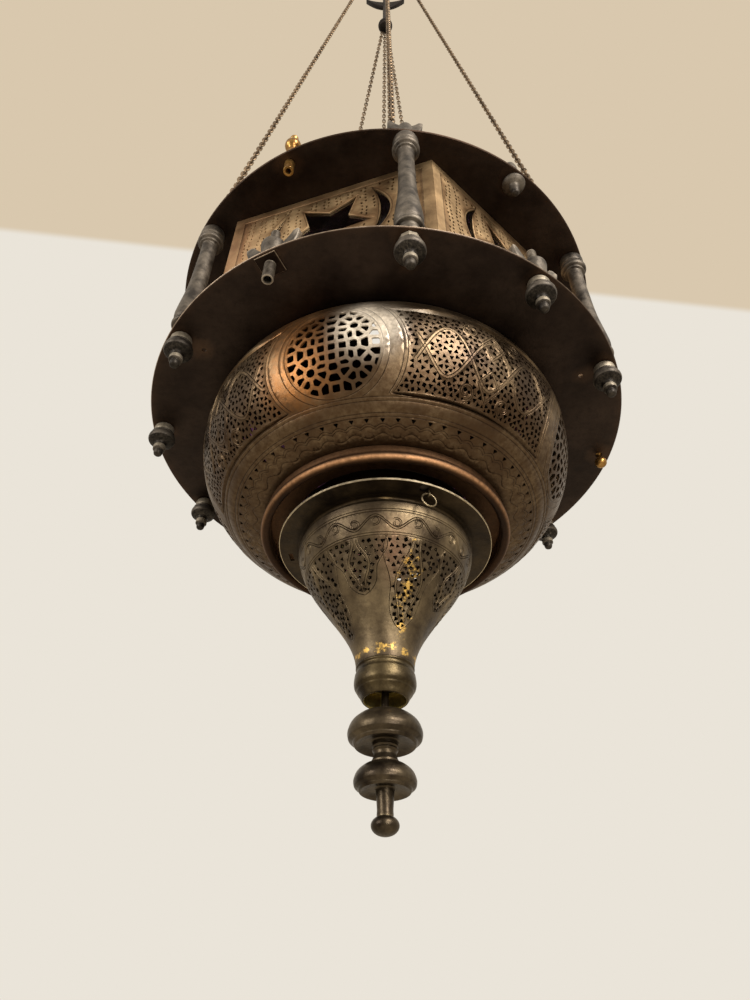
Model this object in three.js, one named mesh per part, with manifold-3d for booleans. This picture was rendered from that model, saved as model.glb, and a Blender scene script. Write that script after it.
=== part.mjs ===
// Hanging lantern: a pierced brass bowl and a glazed hexagonal box between two discs, on six chains.
// Millimetres, +Z up. The origin is the middle of the ceiling plate's top face.

import * as THREE from 'three';
import { mergeVertices } from 'three/addons/utils/BufferGeometryUtils.js';
import Module from 'manifold-3d';

const wasm = await Module();
wasm.setup();

// Driving dimensions: discs and what stands between them
const discOverhang = 25;
const discThickness = 2;
const balusterLength = 186.4;
const balusterFootLength = 42;
const balusterTaperLength = 38;
const balusterHeadLength = 28;
const boltInset = 12;
const stationCount = 6;
const balusterTurn = -85;
const discLip = 17;
const ventRadius = 22;
const smallHoleInset = 34;
const smallHoleRadius = 2.2;

// Driving dimensions: glazed box
const boxRadius = 215;
const boxTurn = -77.5;
const panelThickness = 1.8;
const paneThickness = 3;
const starRadius = 48;
const starInnerShare = 0.46;
const starDrop = 66;
const crescentCircle = 64;
const crescentWidth = 10;
const crescentHalfAngle = 46;

// Driving dimensions: bowl, base ring and cone door
const bowlRadius = 180.7;
const bowlNeckRadius = 167;
const bowlFlatRadius = 112;
const bowlDepth = 120;
const bowlBellyDepth = 38;
const bowlFootLip = 12;
const sheet = 1.8;
const rollRadius = 4.5;
const rollInset = 1.5;
const rollDrop = 11.9;
const rollWall = 4.5;
const doorHoleRadius = 86;
const flangeWidth = 11;
const flangeDrop = 20.6;
const coneDrop = 8;
const coneInset = 7.3;
const coneLedge = 4;
const coneLength = 112;
const collarRadius = 25.2;
const collarNeck = 6;
const collarLength = 22;
const collarLipRadius = 17;
const collarBeadDrop = 14;
const collarMouthDepth = 13;
const collarShelf = 3;
const shelfHoleRadius = 13;
const hingeAngle = 114;
const hingeStandoff = 4;
const hingeDrop = 15;
const hingePinRadius = 1.6;
const hingeBarrelRadius = 3.6;
const hingeBarrelLength = 12;
const earWidth = 4;
const pullAngle = -66;
const pullInset = 8;
const pullRingRadius = 6.5;
const pullWireRadius = 0.8;
const lugWidth = 4;
const lugHeight = 5;
const slotAngles = [54, 174];
const slotInset = 9.5;
const slotLength = 12;
const slotWidth = 4;

// Driving dimensions: finial
const finialHeadOverlap = 5;
const finialHeadHeight = 3;
const finialStemRadius = 3;
const finialBeadRadius = 29.2;
const finialBeadDrop = 27.5;
const finialNeckRadius = 9.8;
const finialSmallBeadRadius = 23.6;
const finialSmallBeadDrop = 36;
const finialTipRadius = 10.2;
const finialTipHeight = 14;
const finialTipDrop = 30;

// Driving dimensions: fasteners
const pegRadius = 3;
const pegClearance = 0.6;
const nutBore = 8;
const acornRadius = 13.4;
const acornLength = 42;
const upperWingSpan = 36;
const upperWingRise = 44;
const upperWingSaddle = 34;
const lowerWingSpan = 53;
const lowerWingRise = 38;
const lowerWingSaddle = 20;
const wingThickness = 6;
const hornShare = 0.75;
const bossRadius = 10;
const upperBossHeight = 27;
const lowerBossHeight = 33;
const threadLength = 15;
const balusterRadius = 13.2;
const washerWidth = 20;
const washerThickness = 1.6;
const nippleBore = 3.6;
const boltDomeHeight = 37;
const boltEyeRadius = 7;
const boltEyeWire = 2;
const ballRadius = 8.6;
const ballHeight = 39;
const smallBallRadius = 4.6;
const smallBallHeight = 56;

// Driving dimensions: lamp
const cupRadius = 33;
const cupFootRadius = 20;
const cupDepth = 62;
const cupWall = 2;
const cupLip = 5;
const carrierThickness = 3;
const carrierRingWidth = 9;
const carrierArmWidth = 10;
const carrierArmCount = 3;
const carrierOverlap = 10;
const carrierTurn = 95;

// Driving dimensions: suspension
const ceilingPlateRadius = 30;
const ceilingPlateThickness = 4;
const screwCount = 3;
const screwCircle = 21;
const screwHoleRadius = 3.3;
const hookDrop = 95;
const hookWireRadius = 5;
const hookBend = 24;
const ringRadius = 26;
const ringWireRadius = 4;
const eyeRadius = 13;
const eyeWireRadius = 4.5;
const shankRadius = 6;
const gatherRadius = 30;
const gatherThickness = 6;
const gatherChainRadius = 22;
const frontChainRise = 1896;
const rearChainRise = 1344;
const dropRadius = 16;
const dropChainRadius = 12;
const ironCrescentSpan = 92;
const ironCrescentRise = 60;
const ironCrescentThickness = 10;
const ironCrescentHeight = 1480;
const chainRadius = 2.5;
const rearBoltPlaces = [2, 3];
const rearNutPlace = 3;
const frontNutPlaces = [[5, 1], [0, -1], [1, -1]];

// Clearances
const fit = 0.3;
const linkGap = 0.8;
const turnGap = 1.5;
const pinClearance = 0.45;
const lugClearance = 0.9;

// How finely round shapes are faceted
const largeSegments = 32;
const doorSegments = 28;
const middleSegments = 20;
const smallSegments = 8;

// Worked out from the driving dimensions
const discRadius = boxRadius + discOverhang;
const boltRadius = discRadius - boltInset;
const upperDiscZ = discThickness + balusterLength;
const upperDiscTop = upperDiscZ + discThickness;
const stationStep = 360 / (2 * stationCount);
const lowerDiscHoleRadius = bowlNeckRadius - discLip;
const rollCentreRadius = bowlFlatRadius - rollInset;
const flangeRadius = doorHoleRadius + flangeWidth;
const coneTopRadius = doorHoleRadius - coneInset;
const boltEyeHeight = boltDomeHeight + 0.8 * boltEyeRadius;
const hingeRadius = flangeRadius + hingeStandoff;
const pullRadius = flangeRadius - pullInset;
const slotRadius = flangeRadius - slotInset;
const hookWireZ = -hookDrop;
const ringZ = hookWireZ - (ringRadius - ringWireRadius - hookWireRadius - linkGap);
const ringWireZ = ringZ - ringRadius;
const eyeZ = ringWireZ - (eyeRadius - eyeWireRadius - ringWireRadius - linkGap);
const gatherZ = eyeZ - eyeRadius - 3 * eyeWireRadius;
const lanternZ = gatherZ - frontChainRise;

const rad = (degrees) => (degrees * Math.PI) / 180;

// Materials
function finish(color, metalness, roughness) {
  return new THREE.MeshStandardMaterial({ color, metalness, roughness });
}
const darkSheet = finish(0x3a2a1f, 0.8, 0.55);
const oldBrass = finish(0x7a5a34, 0.85, 0.5);
const warmBrass = finish(0xa8794c, 0.85, 0.5);
const brightBrass = finish(0xc79a4a, 0.9, 0.35);
const pewter = finish(0x6d6659, 0.85, 0.45);
const iron = finish(0x2a2521, 0.7, 0.65);
const chainMetal = finish(0x5f4d38, 0.8, 0.5);
const purpleGlass = new THREE.MeshStandardMaterial({
  color: 0x35203a, metalness: 0, roughness: 0.2, transparent: true, opacity: 0.6,
});
const clearGlass = new THREE.MeshStandardMaterial({
  color: 0xcfd8cf, metalness: 0, roughness: 0.1, transparent: true, opacity: 0.4,
});

// Closed triangle meshes

function signedVolume(position, index) {
  const [a, b, c] = [new THREE.Vector3(), new THREE.Vector3(), new THREE.Vector3()];
  let volume = 0;
  for (let i = 0; i < index.length; i += 3) {
    a.fromBufferAttribute(position, index[i]);
    b.fromBufferAttribute(position, index[i + 1]);
    c.fromBufferAttribute(position, index[i + 2]);
    volume += a.dot(b.cross(c)) / 6;
  }
  return volume;
}

// Shared vertices merged, triangles without area left out, faces pointing out
function weld(geometry) {
  const bare = geometry.clone();
  for (const name of Object.keys(bare.attributes)) {
    if (name !== 'position') bare.deleteAttribute(name);
  }
  const merged = mergeVertices(bare, 1e-3);
  const all = merged.index.array;
  const kept = [];
  for (let i = 0; i < all.length; i += 3) {
    const [a, b, c] = [all[i], all[i + 1], all[i + 2]];
    if (a !== b && b !== c && c !== a) kept.push(a, b, c);
  }
  if (signedVolume(merged.attributes.position, kept) < 0) kept.reverse();
  merged.setIndex(kept);
  merged.computeVertexNormals();
  return merged;
}

function toSolid(geometry) {
  const { attributes, index } = weld(geometry);
  return new wasm.Manifold(new wasm.Mesh({
    numProp: 3,
    vertProperties: Float32Array.from(attributes.position.array),
    triVerts: Uint32Array.from(index.array),
  }));
}

function toGeometry(solid) {
  const { vertProperties, triVerts } = solid.getMesh();
  const geometry = new THREE.BufferGeometry();
  geometry.setAttribute('position', new THREE.BufferAttribute(Float32Array.from(vertProperties), 3));
  geometry.setIndex(Array.from(triVerts));
  return geometry;
}

function join(first, ...others) {
  return toGeometry(others.reduce((sum, g) => sum.add(toSolid(g)), toSolid(first)));
}

function cut(body, ...others) {
  return toGeometry(others.reduce((rest, g) => rest.subtract(toSolid(g)), toSolid(body)));
}

// Shapes that several pieces share

// A closed outline of [radius, height] points turned about Z
function turned(outline, segments) {
  const points = outline.map(([radius, height]) => new THREE.Vector2(radius, height));
  const closes = outline[0][0] === 0 && outline[outline.length - 1][0] === 0;
  if (!closes) points.push(points[0].clone());
  return new THREE.LatheGeometry(points, segments).rotateX(Math.PI / 2);
}

// An upright cylinder from z0 to z1
function drum(radius, z0, z1, segments = smallSegments) {
  const height = z1 - z0;
  return new THREE.CylinderGeometry(radius, radius, height, segments)
    .rotateX(Math.PI / 2).translate(0, 0, z0 + height / 2);
}

function slab(x, y, z0, z1) {
  return new THREE.BoxGeometry(x, y, z1 - z0).translate(0, 0, (z0 + z1) / 2);
}

// A crescent with its horns up, as thick as given along Y, its back touching z = 0
function crescent(span, rise, thickness, steps) {
  const shape = new THREE.Shape();
  shape.moveTo(-span / 2, rise);
  shape.quadraticCurveTo(0, -rise, span / 2, rise);
  shape.quadraticCurveTo(0, 0.35 * rise, -span / 2, rise);
  const options = { depth: thickness, bevelEnabled: false, curveSegments: steps };
  return new THREE.ExtrudeGeometry(shape, options).rotateX(Math.PI / 2).translate(0, thickness / 2, 0);
}

// A wire ring standing in the XZ plane
function wireRing(radius, wireRadius, wireSides, steps) {
  return new THREE.TorusGeometry(radius, wireRadius, wireSides, steps).rotateX(Math.PI / 2);
}

// Points of an arc, angles in degrees from the outward radius, positive towards +Z
function arc(centreRadius, centreZ, radius, from, to, steps) {
  return Array.from({ length: steps + 1 }, (_, i) => {
    const angle = rad(from + ((to - from) * i) / steps);
    return [centreRadius + radius * Math.cos(angle), centreZ + radius * Math.sin(angle)];
  });
}

const ringPoint = (radius, degrees) => [radius * Math.cos(rad(degrees)), radius * Math.sin(rad(degrees))];

// Scene graph: each moving body has a group of its own inside the lantern
const object = new THREE.Group();
const lantern = new THREE.Group();
lantern.position.z = lanternZ;
object.add(lantern);

function add(parent, name, geometry, material, x = 0, y = 0, z = 0, turn = 0) {
  const mesh = new THREE.Mesh(weld(geometry), material);
  mesh.name = name;
  mesh.position.set(x, y, z);
  mesh.rotation.z = rad(turn);
  parent.add(mesh);
  return mesh;
}

// Places a piece at a station on the bolt circle, its own Y axis pointing outward
function addAtStation(name, geometry, material, degrees, z) {
  const [x, y] = ringPoint(boltRadius, degrees);
  return add(lantern, name, geometry, material, x, y, z, degrees - 90);
}

const balusterAngle = (i) => balusterTurn + i * 2 * stationStep;
const betweenAngle = (i) => balusterAngle(i) + stationStep;

// Discs
function disc(holeRadius, extraHoles) {
  const middle = discThickness / 2;
  const edge = arc(discRadius - middle, middle, middle, -90, 90, 2);
  const outline = [[holeRadius, 0], ...edge, [holeRadius, discThickness]];
  const holes = Array.from({ length: 2 * stationCount }, (_, i) => {
    const [x, y] = ringPoint(boltRadius, balusterTurn + i * stationStep);
    return drum(pegRadius + pegClearance, -discThickness, 2 * discThickness).translate(x, y, 0);
  });
  return cut(turned(outline, largeSegments), ...holes, ...extraHoles);
}

const smallHoles = Array.from({ length: stationCount }, (_, i) => {
  const [x, y] = ringPoint(discRadius - smallHoleInset, balusterAngle(i));
  return drum(smallHoleRadius, -discThickness, 2 * discThickness, 6).translate(x, y, 0);
});
add(lantern, 'lower_disc', disc(lowerDiscHoleRadius, smallHoles), darkSheet);
add(lantern, 'upper_disc', disc(ventRadius, []), darkSheet, 0, 0, upperDiscZ);

// Balusters: the shaft stretches with the length, the turned ends keep theirs
function baluster() {
  const r = balusterRadius;
  const bottom = fit;
  const top = balusterLength - fit;
  const foot = balusterFootLength;
  const head = balusterHeadLength;
  const pegBottom = -discThickness - nutBore + fit;
  const pegTop = balusterLength + discThickness + nutBore - fit;
  return turned([
    [0, pegBottom], [pegRadius, pegBottom], [pegRadius, bottom],
    [0.62 * r, bottom], [0.86 * r, bottom + 0.1 * foot], [0.66 * r, bottom + 0.24 * foot],
    [r, bottom + 0.4 * foot], [0.9 * r, bottom + 0.5 * foot], [r, bottom + 0.69 * foot],
    [0.92 * r, bottom + foot], [0.64 * r, bottom + foot + balusterTaperLength],
    [0.59 * r, top - head], [1.05 * r, top - 0.68 * head], [0.88 * r, top - 0.46 * head], [0.95 * r, top],
    [pegRadius, top], [pegRadius, pegTop], [0, pegTop],
  ], smallSegments);
}

// Acorn nut under a disc, its top face at z = 0, with a blind bore for the peg
function acornOutline(bore) {
  const r = acornRadius;
  const l = acornLength;
  return [
    ...(bore ? [[0, -nutBore], [pegRadius + pegClearance, -nutBore], [pegRadius + pegClearance, -fit]] : []),
    [0.68 * r, -fit], [0.72 * r, -0.08 * l], [0.7 * r, -0.3 * l], [0.82 * r, -0.34 * l], [r, -0.53 * l],
    [0.97 * r, -0.62 * l], [0.46 * r, -0.55 * l], [0.46 * r, -0.9 * l], [0.33 * r, -l], [0, -l],
  ];
}

// Wings of a nut: two horns that rise from its foot, with a saddle between them
function wings(span, rise, saddle) {
  const half = span / 2;
  const foot = fit + 1;
  const shape = new THREE.Shape();
  shape.moveTo(0.3 * half, foot);
  shape.lineTo(-0.3 * half, foot);
  shape.quadraticCurveTo(-half, 0.4 * rise, -half, 0.8 * rise);
  shape.lineTo(-hornShare * half, rise);
  shape.quadraticCurveTo(-0.45 * half, saddle, 0, saddle);
  shape.quadraticCurveTo(0.45 * half, saddle, hornShare * half, rise);
  shape.lineTo(half, 0.8 * rise);
  shape.quadraticCurveTo(half, 0.4 * rise, 0.3 * half, foot);
  const options = { depth: wingThickness, bevelEnabled: false, curveSegments: 3 };
  return new THREE.ExtrudeGeometry(shape, options).rotateX(Math.PI / 2).translate(0, wingThickness / 2, 0);
}

// Wing nut above the upper disc, standing on z = 0, with a blind bore for the peg
function wingNut() {
  const boreRadius = pegRadius + pegClearance;
  const post = turned([
    [0, nutBore], [boreRadius, nutBore], [boreRadius, fit], [bossRadius, fit],
    [0.8 * bossRadius, upperBossHeight], [0, upperBossHeight],
  ], smallSegments);
  return cut(join(post, wings(upperWingSpan, upperWingRise, upperWingSaddle)), drum(boreRadius, -1, nutBore));
}

for (let i = 0; i < stationCount; i += 1) {
  const degrees = balusterAngle(i);
  addAtStation(`baluster_${i + 1}`, baluster(), pewter, degrees, discThickness);
  addAtStation(`acorn_nut_${i + 1}`, turned(acornOutline(true), smallSegments), pewter, degrees, 0);
  addAtStation(`wing_nut_${i + 1}`, wingNut(), pewter, degrees, upperDiscTop);
}

// Head of a bolt through the lower disc: winged, with the thread's end above it and the shank below
function wingHead() {
  const post = turned([
    [0, -discThickness - fit - 1], [pegRadius, -discThickness - fit - 1], [pegRadius, fit], [bossRadius, fit],
    [1.1 * bossRadius, 0.75 * lowerBossHeight], [0.45 * bossRadius, lowerBossHeight],
    [0.45 * bossRadius, lowerBossHeight + threadLength], [0, lowerBossHeight + threadLength],
  ], smallSegments);
  return join(post, wings(lowerWingSpan, lowerWingRise, lowerWingSaddle));
}

// Wing bolt: its head and the acorn nut under the lower disc, in one piece
function wingBolt() {
  const acorn = turned([[0, -fit], ...acornOutline(false)], smallSegments).translate(0, 0, -discThickness);
  return join(wingHead(), acorn);
}

// Small brass knob under the lower disc
function knobBolt() {
  return turned([
    [0, -18], [4, -16.5], [5.2, -12.5], [3.4, -9], [pegRadius, -7], [5.5, -5], [5.5, -discThickness - fit],
    [pegRadius, -discThickness - fit], [pegRadius, fit], [6, fit], [4, 4], [0, 5],
  ], smallSegments);
}

// Hollow nipple with a square washer below the lower disc and a winged head above it
function nippleBolt() {
  const below = -discThickness - fit;
  const washer = slab(washerWidth, washerWidth, below - washerThickness, below);
  const stem = turned([
    [nippleBore, -26], [5, -26], [5, below - 1], [0, below - 1], [0, -10], [nippleBore, -10],
  ], smallSegments);
  return join(wingHead(), stem, washer);
}

// Finial bolt of the upper disc: a skirted cone below, a dome above, with an eye where a chain hangs on it
function finialBolt(withEye) {
  const below = -discThickness - fit;
  const body = turned([
    [0, below - 26], [3.6, below - 24], [4.6, below - 14], [9, below - 10],
    [12, below - 7], [11.4, below - 4], [9, below - 2], [9, below],
    [pegRadius, below], [pegRadius, fit], [7, fit], [7.6, 0.6 * boltDomeHeight],
    [5.5, 0.88 * boltDomeHeight], [0, boltDomeHeight],
  ], smallSegments);
  if (!withEye) return body;
  return join(body, wireRing(boltEyeRadius, boltEyeWire, 6, 10).translate(0, 0, boltEyeHeight));
}

// Brass ball bolt of the upper disc, ending in a short open tube below
function ballBolt() {
  const below = -discThickness - fit;
  return turned([
    [0, below - 6], [3, below - 6], [3, below - 16], [5.2, below - 16], [5.2, below],
    [pegRadius, below], [pegRadius, fit], [6.5, fit], [4, 8], [4, ballHeight - 0.88 * ballRadius],
    ...arc(0, ballHeight, ballRadius, -55, 60, 4), [2.5, smallBallHeight - 0.84 * smallBallRadius],
    ...arc(0, smallBallHeight, smallBallRadius, -50, 60, 3), [0, smallBallHeight + smallBallRadius],
  ], smallSegments);
}

const knobPlace = 1;
const nipplePlace = 5;
for (let i = 0; i < stationCount; i += 1) {
  const degrees = betweenAngle(i);
  if (i === knobPlace) addAtStation('brass_knob', knobBolt(), brightBrass, degrees, discThickness);
  else if (i === nipplePlace) addAtStation('hollow_nipple', nippleBolt(), pewter, degrees, discThickness);
  else addAtStation(`wing_bolt_${i + 1}`, wingBolt(), pewter, degrees, discThickness);
}
for (let i = 0; i < stationCount; i += 1) {
  const degrees = betweenAngle(i);
  const withEye = rearBoltPlaces.includes(i);
  if (i === nipplePlace) addAtStation('ball_bolt', ballBolt(), brightBrass, degrees, upperDiscTop);
  else addAtStation(`finial_bolt_${i + 1}`, finialBolt(withEye), pewter, degrees, upperDiscTop);
}

// Glazed box: mitred panels with a star and two crescent slots, a pane close behind each
function starShape(outer, inner, points, centreZ) {
  const shape = new THREE.Shape();
  for (let i = 0; i < 2 * points; i += 1) {
    const radius = i % 2 ? inner : outer;
    const angle = -Math.PI / 2 + (i * Math.PI) / points;
    const [x, y] = [radius * Math.cos(angle), centreZ + radius * Math.sin(angle)];
    if (i) shape.lineTo(x, y);
    else shape.moveTo(x, y);
  }
  return shape;
}

// Crescent slot beside the star, its outer edge on the slot circle, side 1 or -1
function slotShape(side, centreZ) {
  const shape = new THREE.Shape();
  const tipX = crescentCircle * Math.cos(rad(crescentHalfAngle));
  const tipZ = crescentCircle * Math.sin(rad(crescentHalfAngle));
  const controlX = 2 * crescentCircle - tipX;
  shape.moveTo(side * tipX, centreZ - tipZ);
  shape.quadraticCurveTo(side * controlX, centreZ, side * tipX, centreZ + tipZ);
  shape.quadraticCurveTo(side * (controlX - 2 * crescentWidth), centreZ, side * tipX, centreZ - tipZ);
  return shape;
}

// Shape in the panel's plane made a prism through the panel, which stands along X at y = 0
function panelPrism(shape, front, back) {
  const options = { depth: back - front, bevelEnabled: false, curveSegments: 6 };
  return new THREE.ExtrudeGeometry(shape, options).rotateX(Math.PI / 2).translate(0, back, 0);
}

const boxApothem = boxRadius * Math.cos(Math.PI / 6);
const panelBottom = fit;
const panelTop = balusterLength - fit;

// A plate between the discs with mitred ends, its front face so far behind the box's outer face
function mitredPlate(setback, thickness) {
  const mitre = Math.tan(Math.PI / 6);
  const half = boxRadius / 2 - fit / 2 - setback * mitre;
  const plan = new THREE.Shape();
  plan.moveTo(-half, -setback);
  plan.lineTo(half, -setback);
  plan.lineTo(half - thickness * mitre, -setback - thickness);
  plan.lineTo(-half + thickness * mitre, -setback - thickness);
  return new THREE.ExtrudeGeometry(plan, { depth: panelTop - panelBottom, bevelEnabled: false })
    .translate(0, 0, panelBottom);
}

function panel() {
  const centre = panelTop - starDrop;
  const star = starShape(starRadius, starInnerShare * starRadius, 5, centre);
  const windows = [star, slotShape(1, centre), slotShape(-1, centre)];
  const cutters = windows.map((shape) => panelPrism(shape, -2 * panelThickness, panelThickness));
  return cut(mitredPlate(0, panelThickness), ...cutters);
}

for (let i = 0; i < 6; i += 1) {
  const degrees = boxTurn + 30 + i * 60;
  const [x, y] = ringPoint(boxApothem, degrees);
  add(lantern, `box_panel_${i + 1}`, panel(), warmBrass, x, y, discThickness, degrees - 90);
  const pane = mitredPlate(panelThickness + fit, paneThickness);
  add(lantern, `glass_pane_${i + 1}`, pane, purpleGlass, x, y, discThickness, degrees - 90);
}

// Bowl: two quarter ellipses that meet at the belly, and a flat foot turned in over the base ring
function bowlOutline(inset) {
  const [neck, foot, belly] = [bowlNeckRadius - inset, bowlFlatRadius, bowlRadius - inset];
  const bellyZ = -bowlBellyDepth;
  const lowerDepth = bowlDepth - bowlBellyDepth - inset;
  const upper = [0, 0.25, 0.55].map((share) => {
    const angle = (share * Math.PI) / 2;
    return [neck + (belly - neck) * Math.sin(angle), bellyZ + bowlBellyDepth * Math.cos(angle)];
  });
  const steps = 7;
  const lower = Array.from({ length: steps + 1 }, (_, i) => {
    const angle = (i / steps) * (Math.PI / 2);
    return [foot + (belly - foot) * Math.cos(angle), bellyZ - lowerDepth * Math.sin(angle)];
  });
  return [...upper, ...lower, [foot - bowlFootLip, bellyZ - lowerDepth]];
}

function bowl() {
  const outer = bowlOutline(0);
  const inner = bowlOutline(sheet).reverse();
  outer[0][1] -= fit;
  inner[inner.length - 1][1] -= fit;
  return turned([...outer, ...inner], largeSegments);
}
add(lantern, 'bowl', bowl(), oldBrass);

// Base ring under the bowl: a plate with the door's hole, the roll moulding round it, and the hinge's ears
const plateTop = -bowlDepth - fit;
const plateBottom = plateTop - sheet;
const hingeZ = plateBottom - hingeDrop;
const flangeTop = plateBottom - flangeDrop;
const flangeBottom = flangeTop - sheet;
const pullZ = flangeBottom - lugHeight / 2;

function tangentRod(radius, length, segments) {
  return new THREE.CylinderGeometry(radius, radius, length, segments).rotateZ(Math.PI / 2);
}

function baseRing() {
  const roll = arc(rollCentreRadius, plateTop - rollDrop, rollRadius, 60, -220, 7);
  const ring = turned([
    [doorHoleRadius, plateBottom], [doorHoleRadius, plateTop], [rollCentreRadius + rollWall / 3, plateTop],
    ...roll, [rollCentreRadius - rollWall, plateBottom],
  ], largeSegments);
  const earGap = hingeBarrelLength / 2 + fit;
  const place = (geometry) => geometry.translate(0, hingeRadius, hingeZ).rotateZ(rad(hingeAngle - 90));
  const ear = (side) => slab(earWidth, 2 * hingeBarrelRadius, -hingeBarrelRadius, hingeDrop + sheet / 2)
    .translate(side * (earGap + earWidth / 2), 0, 0);
  const ears = [-1, 1].map((side) => place(ear(side)));
  const pin = place(tangentRod(hingePinRadius, 2 * (earGap + earWidth) - 1, smallSegments));
  return join(ring, ...ears, pin);
}
add(lantern, 'base_ring', baseRing(), oldBrass);

// Cone door: plug, flange, ogee cone and collar in one turned shell, with a hinge barrel and a lug
const coneZ = flangeBottom - coneDrop;
const collarZ = coneZ - coneLength;
const collarBottom = collarZ - collarLength - collarNeck;
const shelfBottom = collarBottom + collarMouthDepth;
const shelfTop = shelfBottom + collarShelf;
const coneEndRadius = collarRadius - 1.4;

function coneOutline(inset) {
  const steps = 7;
  return Array.from({ length: steps + 1 }, (_, i) => {
    const t = i / steps;
    const share = 0.88 * (1 - 3 * t * t + 2 * t * t * t) + 0.12 * (1 - t);
    return [coneEndRadius + (coneTopRadius - coneEndRadius) * share - inset, coneZ - coneLength * t];
  });
}

function coneDoor() {
  const plug = doorHoleRadius - turnGap;
  const neck = coneTopRadius - coneLedge;
  const collarBore = collarRadius - 2 * sheet;
  const beadZ = collarZ - collarBeadDrop;
  const shell = turned([
    [plug, plateTop], [plug, flangeTop], [flangeRadius, flangeTop], [flangeRadius, flangeBottom],
    [neck, flangeBottom], [neck, coneZ], ...coneOutline(0),
    [coneEndRadius - 0.3 * sheet, collarZ - collarNeck],
    [collarRadius - 0.3 * sheet, beadZ + 0.3 * collarBeadDrop], [collarRadius, beadZ],
    [collarRadius - sheet, beadZ - 0.4 * collarBeadDrop],
    [collarLipRadius + sheet, collarBottom + sheet], [collarLipRadius, collarBottom],
    [collarLipRadius - 0.3 * sheet, collarBottom + sheet], [collarLipRadius, shelfBottom],
    [shelfHoleRadius, shelfBottom], [shelfHoleRadius, shelfTop], [collarBore, shelfTop],
    [collarBore, collarZ - collarNeck],
    ...coneOutline(sheet).reverse().slice(0, -1), [neck - sheet, coneZ - sheet], [neck - sheet, flangeTop],
    [plug - sheet, flangeTop], [plug - sheet, plateTop],
  ], doorSegments);
  const atHinge = (geometry) => geometry.translate(0, hingeRadius, hingeZ).rotateZ(rad(hingeAngle - 90));
  const barrel = atHinge(tangentRod(hingeBarrelRadius, hingeBarrelLength - fit, smallSegments));
  const strap = atHinge(
    slab(hingeBarrelLength - fit, 12, flangeTop - hingeZ - sheet / 2, 0).translate(0, -6 - hingePinRadius, 0),
  );
  const bore = atHinge(tangentRod(hingePinRadius + pinClearance, hingeBarrelLength + 2, smallSegments));
  const lug = slab(lugWidth, 2 * lugWidth, flangeBottom - lugHeight, flangeBottom + sheet / 2)
    .translate(0, pullRadius, 0).rotateZ(rad(pullAngle - 90));
  const lugBore = tangentRod(pullWireRadius + lugClearance, 3 * lugWidth, smallSegments)
    .translate(0, pullRadius, pullZ).rotateZ(rad(pullAngle - 90));
  const slots = slotAngles.map((degrees) => slab(slotLength, slotWidth, flangeBottom - 1, flangeTop + 1)
    .translate(0, slotRadius, 0).rotateZ(rad(degrees - 90)));
  return cut(join(shell, barrel, strap, lug), bore, lugBore, ...slots);
}
add(lantern, 'cone_door', coneDoor(), oldBrass);

// Pull ring: a bent wire hanging in the lug's hole
const pullRing = wireRing(pullRingRadius, pullWireRadius, 6, 16).translate(0, 0, -pullRingRadius);
const [pullX, pullY] = ringPoint(pullRadius, pullAngle);
add(lantern, 'pull_ring', pullRing, pewter, pullX, pullY, pullZ, pullAngle - 90);

// Finial: its head rests inside the collar, its beads hang below, each with a lip under its belly
function bead(r, z, neckAbove, neckBelow) {
  return [
    [neckAbove, z + 0.56 * r], [0.7 * r, z + 0.48 * r], [0.93 * r, z + 0.25 * r], [r, z],
    [0.95 * r, z - 0.17 * r], [0.78 * r, z - 0.31 * r], [neckBelow, z - 0.22 * r],
  ];
}

function finial() {
  const seat = shelfTop + fit;
  const head = shelfHoleRadius + finialHeadOverlap;
  const neck = finialNeckRadius;
  const beadZ = collarBottom - finialBeadDrop;
  const smallBeadZ = beadZ - finialSmallBeadDrop;
  const tipZ = smallBeadZ - finialTipDrop;
  const tipTop = tipZ + finialTipHeight / 2;
  return turned([
    [0, seat + finialHeadHeight], [head, seat + finialHeadHeight], [head, seat],
    [finialStemRadius, seat], [finialStemRadius, beadZ + 0.6 * finialBeadRadius],
    ...bead(finialBeadRadius, beadZ, 0.38 * finialBeadRadius, neck),
    ...bead(finialSmallBeadRadius, smallBeadZ, neck, 0.7 * neck),
    [0.6 * neck, tipTop], [0.8 * finialTipRadius, tipZ + 0.3 * finialTipHeight], [finialTipRadius, tipZ],
    [0.8 * finialTipRadius, tipZ - 0.3 * finialTipHeight], [0, tipZ - finialTipHeight / 2],
  ], 14);
}
add(lantern, 'finial', finial(), pewter);

// Lamp: a three-armed carrier on the lower disc, with the glass oil cup hanging in its ring by the lip
function carrier() {
  const inner = cupRadius + turnGap;
  const ring = drum(inner + carrierRingWidth, 0, carrierThickness, middleSegments);
  const reach = lowerDiscHoleRadius + carrierOverlap;
  const arm = (degrees) => slab(carrierArmWidth, reach - inner, 0, carrierThickness)
    .translate(0, (reach + inner) / 2, 0).rotateZ(rad(degrees));
  const arms = Array.from({ length: carrierArmCount }, (_, i) => arm((i * 360) / carrierArmCount));
  return cut(join(ring, ...arms), drum(inner, -1, carrierThickness + 1, middleSegments));
}

function cup() {
  const lip = cupRadius + cupLip;
  return turned([
    [0, -cupDepth], [cupFootRadius, -cupDepth], [cupRadius, -8], [cupRadius, 0], [lip, 0], [lip, cupWall],
    [cupRadius - cupWall, cupWall], [cupRadius - cupWall, -8],
    [cupFootRadius - cupWall, -cupDepth + cupWall], [0, -cupDepth + cupWall],
  ], middleSegments);
}
const carrierZ = discThickness + fit;
add(lantern, 'lamp_carrier', carrier(), darkSheet, 0, 0, carrierZ, carrierTurn - 90);
add(lantern, 'oil_cup', cup(), clearGlass, 0, 0, carrierZ + carrierThickness + fit);

// Iron hanger on the axis: drop, shank with a crescent, gathering plate and top eye, in the lantern's frame
const eyeInLantern = eyeZ - lanternZ;

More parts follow.
